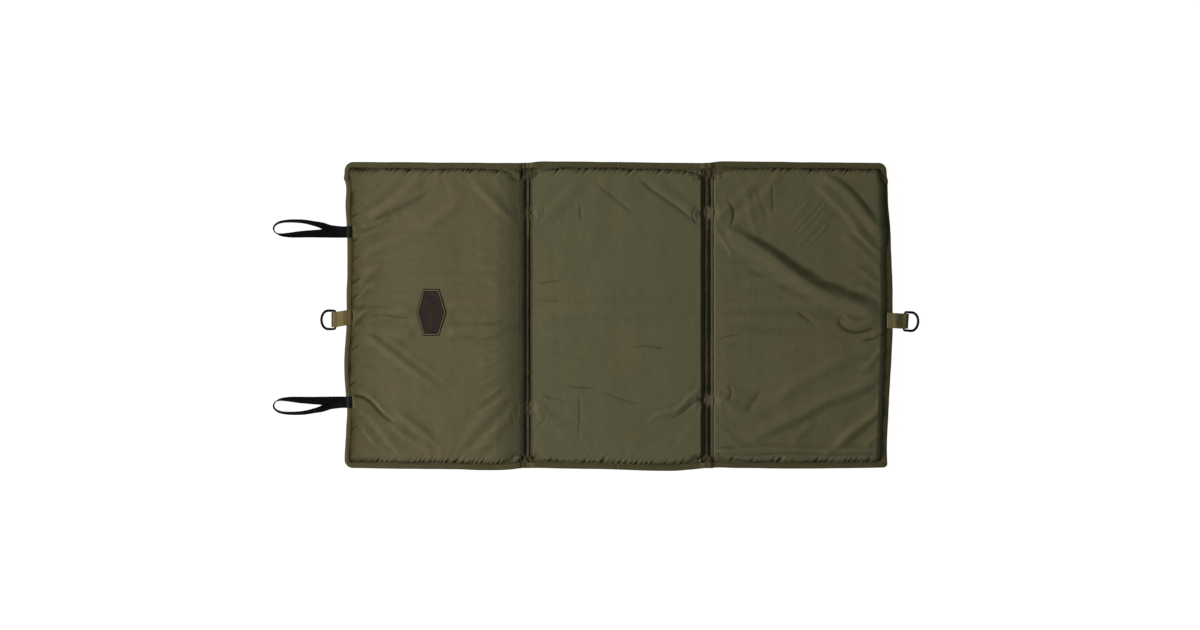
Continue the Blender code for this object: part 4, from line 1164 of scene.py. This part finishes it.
def fold_strip(side, half):
    """Half of a fold's stitched strip, from the pad's wall to the strip's middle line,
    where a soft welt runs.  half is inner, next to the middle panel, or outer.  Its ends
    rise to the tape, where the fabric is gathered."""
    s = -1 if side == "left" else 1
    z0 = WEB_Z[side]
    inward = -s if half == "inner" else s          # from the middle line to the wall
    mid = s * FOLD_X
    # distance from the middle line, height of the upper face over the strip's middle
    low = -1.0 if side == "left" else -2.6
    if side == "left":                             # a narrow soft welt
        prof = [(0.0, 0.55), (0.3, 0.54), (0.6, 0.49), (0.95, 0.38), (1.3, 0.22), (1.7, 0.0), (2.1, -0.25)]
    else:                                          # a broad flat one
        prof = [(0.0, 0.85), (0.7, 0.90), (1.4, 0.92), (2.1, 0.80), (2.8, 0.45), (3.4, -0.15), (3.9, -0.9)]
    prof += [(prof[-1][0] + 0.5, prof[-1][1] + (low - prof[-1][1]) * 0.6), (prof[-1][0] + 1.1, low)]
    # the pads' fabric spills into the groove; on the left it carries the pad's slope on
    tail = {("right", "outer"): ((5.7, 1.1), (6.6, 1.4), (7.6, 2.1), (8.6, 2.9), (9.8, 4.2)),
            ("right", "inner"): ((5.7, 1.3), (6.6, 1.6), (7.6, 2.2), (8.6, 3.0), (9.8, 4.2)),
            ("left", "outer"): ((3.9, 1.1), (4.6, 2.0), (5.5, 2.8), (6.6, 3.3), (7.6, 3.7), (8.6, 4.0), (9.8, 4.3)),
            ("left", "inner"): ((5.7, 0.3), (6.6, 0.3), (7.6, 0.4), (8.6, 0.5), (9.8, 0.8))}[side, half]
    prof += [(d, low + h) for d, h in tail]
    fine = [(EDGE_Y - 0.0014) - 0.0009 * k for k in range(30)]
    n = 170
    ys = sorted([-v for v in fine] + list(np.linspace(-fine[-1], fine[-1], n)[1:-1]) + fine)
    rings, soil, lean = [], [], []
    for y in ys:
        near = sum(math.exp(-(((y - t) / 0.007) ** 2)) for t in TACKS[side])
        around = sum(math.exp(-(((y - t) / 0.0105) ** 4)) for t in TACKS[side])
        wave = 0.25 * float(noise(y, 0.3 if side == "left" else 0.8, 0.016, 5))
        off = 0.35 * float(noise(y, 2.1 if side == "left" else 2.9, 0.05, 6))
        if side == "right":
            off += 0.9 * math.exp(-(((y - 0.195) / 0.012) ** 2)) - 0.7 * math.exp(-(((y - 0.222) / 0.008) ** 2))
        edge = FAN_REAR if y > 0 else FAN_FRONT
        gone = float(smooth((abs(y) - edge + 0.006) / 0.009))
        hump = math.sin(math.pi * min(1.0, max(0.0, (abs(y) - edge + 0.006) / 0.0200))) ** 0.7
        up, down, groove_shade, tone = [], [], [], []
        for d, h in prof:
            wide = 1 + 0.55 * near * math.exp(-((d - 2.0) / 2.0) ** 2)
            x = mid + inward * min(d * wide, 9.8) * MM + off * MM * math.exp(-(d / 3.0) ** 2)
            if side == "left":                     # the welt lies nearer the middle panel
                x += WELT_L * math.exp(-(d / 6.0) ** 2)
            else:
                x -= 0.0008 * math.exp(-(d / 5.0) ** 2)
            hh = (h - 0.35 * near * math.exp(-(d / 2.0) ** 2) + wave * math.exp(-(d / 4.0) ** 2) * 0.5)
            # at a tack the pads' fabric is caught, and bridges the groove
            span = BRIDGE[side, half][0 if y > 0 else 1] * around
            arch = (2.0 + 3.0 * (d / 9.8) ** 1.2) + 0.35 * math.sin(d * 1.7 + 420 * y)
            hh = hh + (max(hh, arch) - hh) * min(1.0, span * 1.3) * min(1.0, d / 1.5)
            cut_ = float(fan(np.array([x]), np.array([y]))[0])
            swell = (2.3 if side == "left" else 1.1) * hump - 0.3
            hh = hh + (swell - 1.6 * cut_ * min(1.0, hump * 2) - hh) * gone
            up.append((x, y, z0 + hh * MM))
            down.append((x, y, z0 + (low - (0.3 if side == "left" else 0.8)) * MM))
            # painted shade on the welt and in the grooves: the welt is light near the ends, and darker half way
            ends = float(smooth((abs(y + 0.01) - 0.13) / 0.03))
            welt = (0.80 - 0.50 * ends) if side == "left" else (0.58 - 0.34 * ends * (y > 0))
            g = welt if d < (1.8 if side == "left" else 3.2) else 0.0
            # painted light: the tone is browner and lighter down in the shaded grooves; it is browner too where fabric
            # bridges a groove and at the strip's ends
            brown = 0.2
            if side == "left" and half == "inner":
                g, brown = (g, 0.2) if d < 1.8 else (0.30, 0.9)
            elif side == "left":
                g, brown = ((g, 0.2) if d < 1.8 else (0.30, 0.2) if d < 4.2 else (0.26, 0.2) if d < 6.0
                            else (0.20, 0.3) if d < 8.2 else (0.02, 0.6))
            elif half == "outer":
                g, brown = (g, 0.2) if d < 3.2 else (0.0, 0.7) if d < 7.0 else (0.50, 0.5)
            else:
                g, brown = (0.22, 0.2) if d < 3.2 else (0.0, 0.85)
            g = min(1.0, g + 0.25 * float(noise(x * 3, y, 0.008, 17)) * (1 if d < 1.5 else 0.4))
            g = g + (0.20 - g) * min(1.0, span * 1.2) * min(1.0, d / 2.0)
            groove_shade.append(g + (min(1.0, 0.34 + 0.66 * cut_) - g) * gone)
            tone.append(brown + (1.1 - brown) * min(1.0, span * 1.2) + (0.7 - brown) * gone)
        rings.append(up + down[::-1])
        soil += groove_shade + groove_shade[::-1]
        lean += tone + tone
    ob = rings_object("fold_strip_%s_%s" % (side, half), rings, NYLON_FOLD_SHADED)
    paint(ob, soil=np.clip(soil, 0, 1), lean=lean)
    ob.data.set_sharp_from_angle(angle=math.radians(62))
    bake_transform(ob)
    return ob


for side in ("left", "right"):
    inner = fold_strip(side, "inner")
    outer = fold_strip(side, "outer")
    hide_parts("fold_web_" + side)


# ------------------------------------------------------------------ thread
def threads(name, segs, r, mat, arch=0.35):
    """Stitches as one mesh: each a short rounded length of thread from p to q that
    rises a little in its middle."""
    V, F = [], []
    sides = 5
    for p, q in segs:
        p, q = np.array(p, float), np.array(q, float)
        d = q - p
        length = np.linalg.norm(d)
        if length < 1e-6:
            continue
        d /= length
        up = np.array([0, 0, 1.0])
        if abs(d[2]) > 0.95:
            up = np.array([1.0, 0, 0])
        side = np.cross(d, up)
        side /= np.linalg.norm(side)
        up = np.cross(side, d)
        stations = ((0.0, 0.35, 0.0), (0.14, 0.85, 0.5), (0.5, 1.0, 1.0), (0.86, 0.85, 0.5), (1.0, 0.35, 0.0))
        base = len(V)
        for t, g, h in stations:
            c = p + d * length * t + up * r * arch * 2 * h
            for k in range(sides):
                a = 2 * math.pi * k / sides
                V.append(c + (side * math.cos(a) + up * math.sin(a)) * r * g)
        for i in range(len(stations) - 1):
            for k in range(sides):
                j = (k + 1) % sides
                F.append((base + i * sides + k, base + i * sides + j,
                          base + (i + 1) * sides + j, base + (i + 1) * sides + k))
        F.append(tuple(base + k for k in range(sides))[::-1])
        F.append(tuple(base + (len(stations) - 1) * sides + k for k in range(sides)))
    ob = mesh_object(name, V, F, None, [mat])
    fix_normals(ob)
    return ob


# ------------------------------------------------------------------ binding tape
def tape_section(w, lift):
    """The tape's section as (inset, height over the seam's middle), all round."""
    return [
        (w, 0.50), (w + 0.05, 1.00), (w - 0.20, 1.45), (w - 1.0, 1.66 + lift), (w * 0.62, 1.74 + lift),
        (w * 0.38, 1.76 + lift), (1.7, 1.62 + lift * 0.5), (0.9, 1.35), (0.3, 0.85), (0.0, 0.25),
        (0.0, -0.25), (0.3, -0.85), (0.9, -1.35), (1.7, -1.62), (w * 0.38, -1.74), (w * 0.62, -1.70),
        (w - 1.2, -1.50), (w - 0.25, -1.32), (w + 0.05, -0.95), (w, -0.50), (1.0, -0.46), (1.0, 0.46),
    ]


def tape_path(which):
    """(x, y, inward x, inward y, tape width in mm) along a length of the tape."""
    out = []
    step = 0.0025

    def run(x0, y0, x1, y1, nx, ny, w=9.3):
        n = max(2, int(math.hypot(x1 - x0, y1 - y0) / step))
        for k in range(n + 1):
            out.append((x0 + (x1 - x0) * k / n, y0 + (y1 - y0) * k / n, nx, ny, w))

    if which in ("left", "right"):
        s = -1 if which == "left" else 1
        xe = EDGE_L if s < 0 else EDGE_R
        r = CORNER_R
        cx = xe - s * r
        w_end = 8.7 if s < 0 else 8.6
        n = 10
        run(s * FOLD_X, EDGE_Y, cx, EDGE_Y, 0, -1)
        for k in range(1, n):
            a = math.pi / 2 * k / n
            out.append((cx + s * r * math.sin(a), EDGE_Y - r + r * math.cos(a),
                        -s * math.sin(a), -math.cos(a), 9.3 + (w_end - 9.3) * k / n))
        q = corner_r(s, -1)
        run(xe, EDGE_Y - r, xe, -EDGE_Y + q, -s, 0, w_end)
        r, cx = q, xe - s * q
        for k in range(1, n):
            a = math.pi / 2 * (1 - k / n)
            out.append((cx + s * r * math.sin(a), -EDGE_Y + r - r * math.cos(a),
                        -s * math.sin(a), math.cos(a), w_end + (9.3 - w_end) * k / n))
        run(cx, -EDGE_Y, s * FOLD_X, -EDGE_Y, 0, 1)
    else:
        side, where = which
        s = -1 if side == "left" else 1
        t = 1 if where == "rear" else -1
        run(s * FOLD_X, t * EDGE_Y, 0.0, t * EDGE_Y, 0, -t)
    done = []
    for x, y, nx, ny, w in out:
        f = min(1.0, max(0.0, (abs(y) - EDGE_Y + 0.02) / 0.02))
        ye = y - (1 if y > 0 else -1) * long_edge(x, 1 if y > 0 else -1) * f
        xe = x + float(bulge(y)) * max(0.0, (x - 0.30) / 0.15) ** 3 if x > 0.30 else x
        if x < -0.38:
            xe += (float(left_bow(y)) - 0.0014) * min(1.0, (-x - 0.38) / 0.069) ** 2
        done.append((xe, ye, nx, ny, w))
    return done


def tape_height(x):
    """Height of the tape's middle: the seam's, or the strip's between hinge lines."""
    for s, z in ((-1, WEB_Z["left"]), (1, WEB_Z["right"])):
        d = abs(x - s * FOLD_X)
        if d < 0.0112:
            return z + (SEAM_Z - z) * float(smooth((d - 0.0068) / 0.0040))
    return SEAM_Z


def tape(name, which):
    path = tape_path(which)
    rings, stitch = [], []
    run = 0.0
    last = None
    seed = {"left": 3, "right": 5}.get(which, 7)
    for x, y, nx, ny, w in path:
        if last is not None:
            run += math.hypot(x - last[0], y - last[1])
        last = (x, y)
        q = (x + y * 1.7, y - x * 0.6)
        wob = 0.25 + 0.22 * float(noise(q[0], q[1], 0.03, seed)) + 0.3 * abs(nx) * float(noise(y, 5.5, 0.045, seed + 5))
        # one end of the tape lies over the other at both ends of the mat
        lap = 0.0
        if abs(nx) > 0.5:
            lap = math.exp(-(((y - (0.2285 if x < 0 else 0.2240)) / 0.0045) ** 4))
        out = (wob - 1.1 * lap) * MM
        ww = w - wob + 0.6 * lap + 0.3 * float(noise(q[0], q[1], 0.013, seed + 1))
        if nx < -0.5:
            ww += 1.5 * float(middle_right(y))
        lift = 0.14 * float(noise(q[0], q[1], 0.02, seed + 2)) + 0.35 * lap
        z = tape_height(x) if abs(y) > EDGE_Y - 0.02 else SEAM_Z
        ring = []
        for d, h in tape_section(ww, lift):
            d = out + d * MM
            ring.append((x + nx * d, y + ny * d, z + h * MM))
        rings.append(ring)
        stitch.append(((x, y), (nx, ny), out + (ww - 1.5) * MM, z + (1.52 + lift) * MM, run))
    ob = rings_object(name, rings, TAPE)
    return ob, stitch


def stitch_row(line, keep=lambda x: True, pitch=0.0036, length=0.0026, drop=0.0):
    """Segments of a row of stitches along what tape() returned, upper face only."""
    segs = []
    pts = [(p[0] + n[0] * d, p[1] + n[1] * d, z - drop) for p, n, d, z, _ in line]
    P = np.array(pts)
    run = np.concatenate([[0], np.cumsum(np.linalg.norm(np.diff(P, axis=0), axis=1))])
    s = 0.001
    while s + length < run[-1]:
        a = [np.interp(s, run, P[:, k]) for k in range(3)]
        b = [np.interp(s + length, run, P[:, k]) for k in range(3)]
        if keep(a[0]) and keep(b[0]):
            segs.append((a, b))
        s += pitch
    return segs


row_left, row_right, row_mid = [], [], []
for side in ("left", "right"):
    s = -1 if side == "left" else 1
    ob, line = tape("bias_tape_" + side, side)
    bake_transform(ob)
    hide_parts("binding_" + side)
    segs = stitch_row(line, lambda x: abs(x) > FOLD_X + 0.0115)
    st = threads("tape_stitches_" + side, segs, 0.00032, THREAD)
    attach(st, side + "_panel")
    for where in ("rear", "front"):
        ob, line = tape("bias_tape_middle_%s_%s" % (side, where), (side, where))
        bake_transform(ob)
        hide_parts("binding_%s_fold_%s" % (side, where), "binding_middle_" + where)
        row_mid += stitch_row(line, lambda x: abs(x) < FOLD_X - 0.0115)
st = threads("tape_stitches_middle", row_mid, 0.00032, THREAD)
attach(st, "middle_panel")


# ------------------------------------------------------------------ bar tacks of the folds
for side in ("left", "right"):
    s = -1 if side == "left" else 1
    for where, ty in zip(("rear", "front"), TACKS[side]):
        z = WEB_Z[side] + 1.45 * MM
        segs = []
        for k in range(9):
            y = ty - 0.0016 + 0.0004 * k
            mid = s * FOLD_X + (WELT_L if s < 0 else 0.0)
            segs.append(((mid - 0.0034, y, z - 0.0004), (mid + 0.0034, y + 0.0002, z - 0.0004)))
        st = threads("fold_bar_tack_%s_%s" % (side, where), segs, 0.00028, THREAD, 1.6)
        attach(st, side + "_fold")
        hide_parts("fold_tack_%s_%s" % (side, where))


# ------------------------------------------------------------------ straps
def strap_rings(centres, widths, w, t, lip=0.32):
    """Rings of a flat strap with rounded edges and a slightly crowned face."""
    prof = []
    for u, v in ((-0.5, 0.0), (-0.488, 0.30), (-0.455, 0.47), (-0.38, 0.52), (-0.19, 0.5), (0.0, 0.5),
                 (0.19, 0.5), (0.38, 0.52), (0.455, 0.47), (0.488, 0.30), (0.5, 0.0)):
        prof.append((u, v))
    prof += [(u, -v) for u, v in prof[-2:0:-1]]
    rings = []
    for i, (c, u) in enumerate(zip(centres, widths)):
        a, b = centres[max(i - 1, 0)], centres[min(i + 1, len(centres) - 1)]
        tangent = (b - a).normalized()
        u = u.normalized()
        n = tangent.cross(u).normalized()
        rings.append([c + u * (w * p) + n * (t * q) for p, q in prof])
    return rings


LOOP_KEYS = [
    (0.0, 0.0, 14.70, 0), (4.0, 0.1, 14.80, 2), (11.2, 1.1, 14.40, 16),
    (24.5, 4.8, 13.20, 40), (37.8, 10.9, 11.40, 57), (52.8, 14.6, 10.30, 67),
    (69.4, 17.7, 9.90, 72), (90.9, 18.5, 9.90, 76), (105.9, 16.9, 9.90, 79),
    (114.5, 12.8, 9.90, 81), (118.3, 6.4, 9.90, 82), (115.2, -0.6, 9.90, 88),
    (105.9, -4.4, 9.90, 101), (90.9, -4.8, 9.90, 115), (74.3, -3.7, 9.90, 124),
    (57.7, -2.9, 9.90, 129), (37.8, -2.2, 9.90, 137), (24.5, -1.1, 10.40, 151),
    (11.2, -0.3, 11.60, 167), (4.0, 0.0, 12.50, 178), (0.0, 0.0, 12.80, 180),
]


def elastic_loop(name, yc, s):
    rows = catmull(LOOP_KEYS, 9)
    inner = [(-8.4 + 1.2 * k, 0.0, 14.70, 0.0) for k in range(7)]
    tail = [(-8.4 + 1.2 * k, 0.0, 12.80, 180.0) for k in range(7)][::-1]
    rows = [list(r) for r in inner] + rows + [list(r) for r in tail]
    centres, widths = [], []
    for out, side, z, twist in rows:
        centres.append(Vector((EDGE_L - LOOP_HINGE - out / 1000, yc + s * side / 1000, z / 1000)))
    for i, row in enumerate(rows):
        a, b = centres[max(i - 1, 0)], centres[min(i + 1, len(centres) - 1)]
        tangent = (b - a).normalized()
        h = Vector((0, 0, 1)).cross(tangent).normalized()
        v = tangent.cross(h)
        turn = math.radians(row[3])
        widths.append(h * math.cos(turn) * s + v * math.sin(turn) * s
                      if s > 0 else h * math.cos(turn) - v * math.sin(turn))
    return rings_object(name, strap_rings(centres, widths, LOOP_W, LOOP_T), ELASTIC)


for where, yc, s in (("rear", REAR_LOOP_Y, 1), ("front", FRONT_LOOP_Y, -1)):
    ob = elastic_loop("elastic_strap_" + where, yc, s)
    x = EDGE_L - LOOP_HINGE
    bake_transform(ob)
    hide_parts("elastic_loop_" + where, "loop_end_" + where)
    # the bar tack that holds both ends: close zigzags across the strap
    z = 0.01555
    segs = []
    rows = 22
    for k in range(rows):
        y = yc - 0.0086 + 0.0172 * k / (rows - 1)
        segs.append(((EDGE_L + 0.0016, y, z), (EDGE_L + 0.0062, y + 0.0004, z)))
    for k in range(6):
        y = yc - 0.0080 + 0.0032 * k
        for x in (EDGE_L + 0.0012, EDGE_L + 0.0066):
            segs.append(((x, y, z + 0.0001), (x, y + 0.0027, z + 0.0001)))
    st = threads("loop_bar_tack_" + where, segs, 0.00034, THREAD_DARK, 0.5)
    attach(st, "left_panel")
    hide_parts("loop_tack_" + where)


# ------------------------------------------------------------------ webbing tabs
TAB_STACK = 2 * WEBBING_T + 0.0003
TAB_Z = STRAP_Z + TAB_STACK / 2


def tab(name, mat, out, hinge_x, y0, y1, bar, yaw, skew, slack):
    """Webbing folded loosely round the ring's bar, with both ends sewn down on the tape."""
    reach = abs(bar[0] - hinge_x)
    drop = TAB_Z - bar[2]
    near, eye = TAB_STACK / 2 - WEBBING_T / 2, WIRE_R + BAR_GAP + WEBBING_T / 2
    spread = 0.0066
    p = [Vector((0, 0)), Vector((reach * 0.36, 0)), Vector((reach * 0.62, -drop * 0.72)),
         Vector((reach, -drop))]
    mid = []
    n = 24
    for k in range(n + 1):
        t = k / n
        q = (p[0] * (1 - t) ** 3 + p[1] * 3 * t * (1 - t) ** 2
             + p[2] * 3 * t * t * (1 - t) + p[3] * t ** 3)
        d = (p[1] - p[0]) * (1 - t) ** 2 + (p[2] - p[1]) * 2 * t * (1 - t) + (p[3] - p[2]) * t * t
        mid.append((q, d.normalized()))
    upper, lower = [], []
    for q, d in mid:
        back = (p[3] - q).length
        u = min(1.0, back / spread)
        off = near + (eye - near) * (1 - u * u * (3 - 2 * u))
        normal = Vector((-d.y, d.x))
        upper.append(q + normal * off)
        lower.append(q - normal * off)
    d = mid[-1][1]
    normal = Vector((-d.y, d.x))
    turn, turn_shade = [], []
    m = 18
    for k in range(1, m):
        a = math.pi * k / m
        turn.append(p[3] + normal * (eye * math.cos(a)) + d * ((eye + slack) * math.sin(a)))
        turn_shade.append(0.90 * float(smooth((math.sin(a) - 0.42) / 0.18)))
    sewn = [Vector((-0.0114 + 0.00140 * k, 0.0)) for k in range(8)]
    line = ([q + Vector((0, near)) for q in sewn] + upper + turn + lower[::-1]
            + [q - Vector((0, near)) for q in sewn[::-1]])
    centres, widths = [], []
    for q in line:
        f = min(1.0, max(0.0, q.x / reach))
        yc = y0 + (y1 - y0) * f + (skew * out * q.x if q.x < 0 else 0.0)
        centres.append(Vector((hinge_x + out * q.x, yc, TAB_Z + q.y)))
        widths.append(Vector((math.sin(yaw * f), math.cos(yaw * f), 0)))
    rings = strap_rings(centres, widths, WEBBING_W, WEBBING_T)
    ob = rings_object(name, rings, mat)
    # painted shade on the outer end of the fold, round the ring's bar
    first = len(sewn) + len(upper)
    soil = np.zeros(len(line))
    soil[first:first + len(turn_shade)] = turn_shade
    paint(ob, soil=np.repeat(soil, len(rings[0])))
    return ob


TAB_EDGE_R = EDGE_R + 0.0080
for side, out, hx, y0, y1, bar, yaw, mat, skew, thr, slack in (
    ("left", -1, EDGE_L - TAB_HINGE, TAB_Y_L, -0.0060, BAR_L, YAW_L, WEB_TAN, 0.10, THREAD_TAN, 0.0034),
    ("right", 1, TAB_EDGE_R + TAB_HINGE, TAB_Y_R, BAR_R[1], BAR_R, YAW_R, WEB_OLIVE, -0.03, THREAD, 0.0038),
):
    ob = tab("webbing_" + side, mat, out, hx, y0, y1, bar, yaw, skew, slack)
    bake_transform(ob)
    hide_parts("webbing_tab_" + side, "tab_end_" + side)
    # box of stitches through the sewn end
    z = STRAP_Z + TAB_STACK + 0.00015
    segs = []
    for xo in (-0.0090, -0.0042):
        k = -0.0112
        while k < 0.0105:
            x = hx + out * xo
            yy = y0 + skew * out * xo
            segs.append(((x, yy + k, z), (x, yy + k + 0.0024, z)))
            k += 0.0032
    for ks in (-0.0110, 0.0110):
        for j in range(2):
            xa, xb = hx + out * (-0.0087 + 0.0024 * j), hx + out * (-0.0087 + 0.0024 * j + 0.0019)
            ya = y0 + skew * out * (-0.0087 + 0.0024 * j) + ks
            segs.append(((xa, ya, z), (xb, ya + skew * 0.0019, z)))
    if side == "left":
        # the cut end is overcast with dark thread
        rows = []
        for k in range(21):
            y = y0 - 0.0124 + 0.00122 * k
            rows.append(((hx - out * 0.0102, y, z), (hx - out * 0.0114, y + 0.0005, z - 0.0002)))
            rows.append(((hx - out * 0.0112, y - 0.0004, z + 0.0001), (hx - out * 0.0112, y + 0.0009, z + 0.0001)))
        st = threads("tab_end_stitch_" + side, rows, 0.00042, THREAD_BROWN, 0.3)
        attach(st, side + "_panel")
    st = threads("tab_box_stitch_" + side, segs, 0.00036, thr, 0.4)
    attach(st, side + "_panel")
    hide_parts("tab_stitch_" + side)


# ------------------------------------------------------------------ D-rings
def d_ring(name, out, bar, yaw):
    half, c = RING_W / 2 - WIRE_R, RING_CORNER
    straight = 0.0120
    line = [(0.0, -half + c)] + [(0.0, -half + c + (2 * half - 2 * c) * k / 8) for k in range(1, 9)]
    for k in range(1, 9):
        a = math.pi / 2 * k / 8
        line.append((c - c * math.cos(a), half - c + c * math.sin(a)))
    line += [(c + (straight - c) * k / 4, half) for k in range(1, 5)]
    m = 44
    for k in range(1, m):
        a = math.pi * k / m
        line.append((straight + (RING_D - straight) * math.sin(a), half * math.cos(a)))
    line += [(c + (straight - c) * k / 4, -half) for k in range(4, 0, -1)]
    for k in range(0, 8):
        a = math.pi / 2 * (1 - k / 8)
        line.append((c - c * math.cos(a), -half + c - c * math.sin(a)))
    tilt = math.asin((bar[2] - WIRE_R - 0.00005) / RING_D)
    ct, st, cy, sy = math.cos(tilt), math.sin(tilt), math.cos(yaw), math.sin(yaw)
    pts = []
    for s, y in line:
        x = out * s * ct
        pts.append(Vector((bar[0] + x * cy + y * sy, bar[1] + y * cy - x * sy, bar[2] - s * st)))
    up = Vector((out * st * cy, -out * st * sy, ct))
    sides = 20
    rings = []
    for i, p in enumerate(pts):
        t = (pts[(i + 1) % len(pts)] - pts[i - 1]).normalized()
        side = t.cross(up).normalized()
        wide = WIRE_R * (1 + 0.13 * float(smooth((line[i][0] - 0.0045) / 0.004)))
        rings.append([
            p + side * (wide * math.cos(2 * math.pi * k / sides))
            + up * (WIRE_R * math.sin(2 * math.pi * k / sides))
            for k in range(sides)])
    return rings_object(name, rings, STEEL, closed=True, uv=False)


for side, out, bar, yaw in (("left", -1, BAR_L, YAW_L), ("right", 1, BAR_R, YAW_R)):
    ob = d_ring("ring_wire_" + side, out, bar, yaw)
    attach(ob, side + "_ring")
    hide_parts("d_ring_" + side)


# ------------------------------------------------------------------ badge
def hexagon(inset):
    w, h, flat = BADGE_SIZE[0] / 2 - inset, BADGE_SIZE[1] / 2 - inset, 0.0130 - inset * 0.5
    return [(w, 0), (flat, h), (-flat, h), (-w, 0), (-flat, -h), (flat, -h)]


def hex_ring(inset, per=6):
    pts = hexagon(inset)
    out = []
    for a, b in zip(pts, pts[1:] + pts[:1]):
        for k in range(per):
            t = k / per
            out.append((BADGE[0] + a[0] + (b[0] - a[0]) * t, BADGE[1] + a[1] + (b[1] - a[1]) * t))
    return out


def badge():
    """A plain moulded badge: a dark rim, a pale inset line, and a bare grained face."""
    v = np.array([p.co for p in tops["left"].data.vertices])
    under = (np.abs(v[:, 0] - BADGE[0]) < BADGE_SIZE[0] / 2) & (np.abs(v[:, 1] - BADGE[1]) < BADGE_SIZE[1] / 2)
    z0 = float(v[under, 2].max()) - 0.0003
    levels = [
        (0.0000, -0.60), (0.0000, 0.55), (0.0003, 0.85), (0.0009, 0.95), (0.0014, 0.90), (0.0016, 0.80),
        (0.0018, 0.78), (0.0032, 0.78), (0.0035, 0.82), (0.0038, 0.92), (0.0046, 0.96), (0.0053, 0.86),
        (0.0058, 0.78),
    ]
    kinds = [1, 1, 1, 1, 1, 2, 2, 2, 1, 1, 1, 0]
    per = 6
    V, F, M = [], [], []
    for inset, h in levels:
        V += [(x, y, z0 + h * MM) for x, y in hex_ring(inset, per)]
    n = 6 * per
    for i in range(len(levels) - 1):
        for k in range(n):
            j = (k + 1) % n
            F.append((i * n + k, i * n + j, (i + 1) * n + j, (i + 1) * n + k))
            M.append(kinds[i])
    # face: rings that shrink to the middle, a little crowned
    last = (len(levels) - 1) * n
    rings = 8
    inner = hex_ring(levels[-1][0], per)
    for r in range(1, rings):
        f = 1 - r / rings
        base = len(V)
        for x, y in inner:
            V.append((BADGE[0] + (x - BADGE[0]) * f, BADGE[1] + (y - BADGE[1]) * f,
                      z0 + (0.78 + 0.12 * (1 - f * f)) * MM))
        for k in range(n):
            j = (k + 1) % n
            F.append((last + k, last + j, base + j, base + k))
            M.append(0)
        last = base
    V.append((BADGE[0], BADGE[1], z0 + 0.90 * MM))
    for k in range(n):
        F.append((last + k, last + (k + 1) % n, len(V) - 1))
        M.append(0)
    F.append(tuple(range(n))[::-1])
    M.append(1)
    ob = mesh_object("badge_plain", V, F, [v[:2] for v in V], [BADGE_FACE, BADGE_RIM, BADGE_LINE], M)
    fix_normals(ob)
    ob.data.set_sharp_from_angle(angle=math.radians(50))
    return ob


ob = badge()
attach(ob, "left_panel")
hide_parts("badge_patch")


# ------------------------------------------------------------------ stage, light, camera
def floor():
    k = Nodes("pale_floor")
    tc = k.node("ShaderNodeTexCoord")
    n = k.noise(tc.outputs["Object"], 3.0, 2.0, 0.5)
    k.link(k.mix(k.range(n, 0.3, 0.7, 0, 1), (0.11, 0.11, 0.11, 1), (0.13, 0.13, 0.13, 1)),
           k.bsdf.inputs["Base Color"])
    k.bsdf.inputs["Roughness"].default_value = 0.9
    k.bsdf.inputs["Specular IOR Level"].default_value = 0.1
    k.bsdf.inputs["Emission Color"].default_value = (1, 1, 1, 1)
    k.bsdf.inputs["Emission Strength"].default_value = 0.975
    s, z = 60.0, -0.0008
    ob = mesh_object("floor", [(-s, -s, z), (s, -s, z), (s, s, z), (-s, s, z)],
                     [(0, 1, 2, 3)], None, [k.mat])


floor()

world = bpy.data.worlds.new("studio")
world.use_nodes = True
bg = world.node_tree.nodes["Background"]
bg.inputs["Color"].default_value = (1.0, 1.0, 1.0, 1.0)
bg.inputs["Strength"].default_value = 0.20
bpy.context.scene.world = world


def area(name, place, target, size, power, colour=(1, 1, 1)):
    d = bpy.data.lights.new(name, "AREA")
    d.shape = "RECTANGLE"
    d.size, d.size_y = size
    d.energy = power
    d.color = colour
    o = bpy.data.objects.new(name, d)
    o.location = place
    o.rotation_euler = (Vector(target) - Vector(place)).to_track_quat("-Z", "Y").to_euler()
    bpy.context.scene.collection.objects.link(o)
    return o


area("key", (-3.30, -0.10, 1.85), (0.0, 0, 0), (1.1, 1.5), 190)

cam = bpy.data.cameras.new("camera")
cam.type = "PERSP"
cam.sensor_width = 36.0
CAM_H, WIDE = 12.0, 1200 * 0.00166
cam.lens = 36.0 * (CAM_H - 0.012) / WIDE
cam.clip_start, cam.clip_end = 0.5, 60.0
camera = bpy.data.objects.new("camera", cam)
camera.location = (*at(600, 315), CAM_H)
camera.rotation_euler = (0, 0, 0)
bpy.context.scene.collection.objects.link(camera)
bpy.context.scene.camera = camera

scene = bpy.context.scene
scene.view_settings.view_transform = "Standard"
scene.view_settings.look = "None"
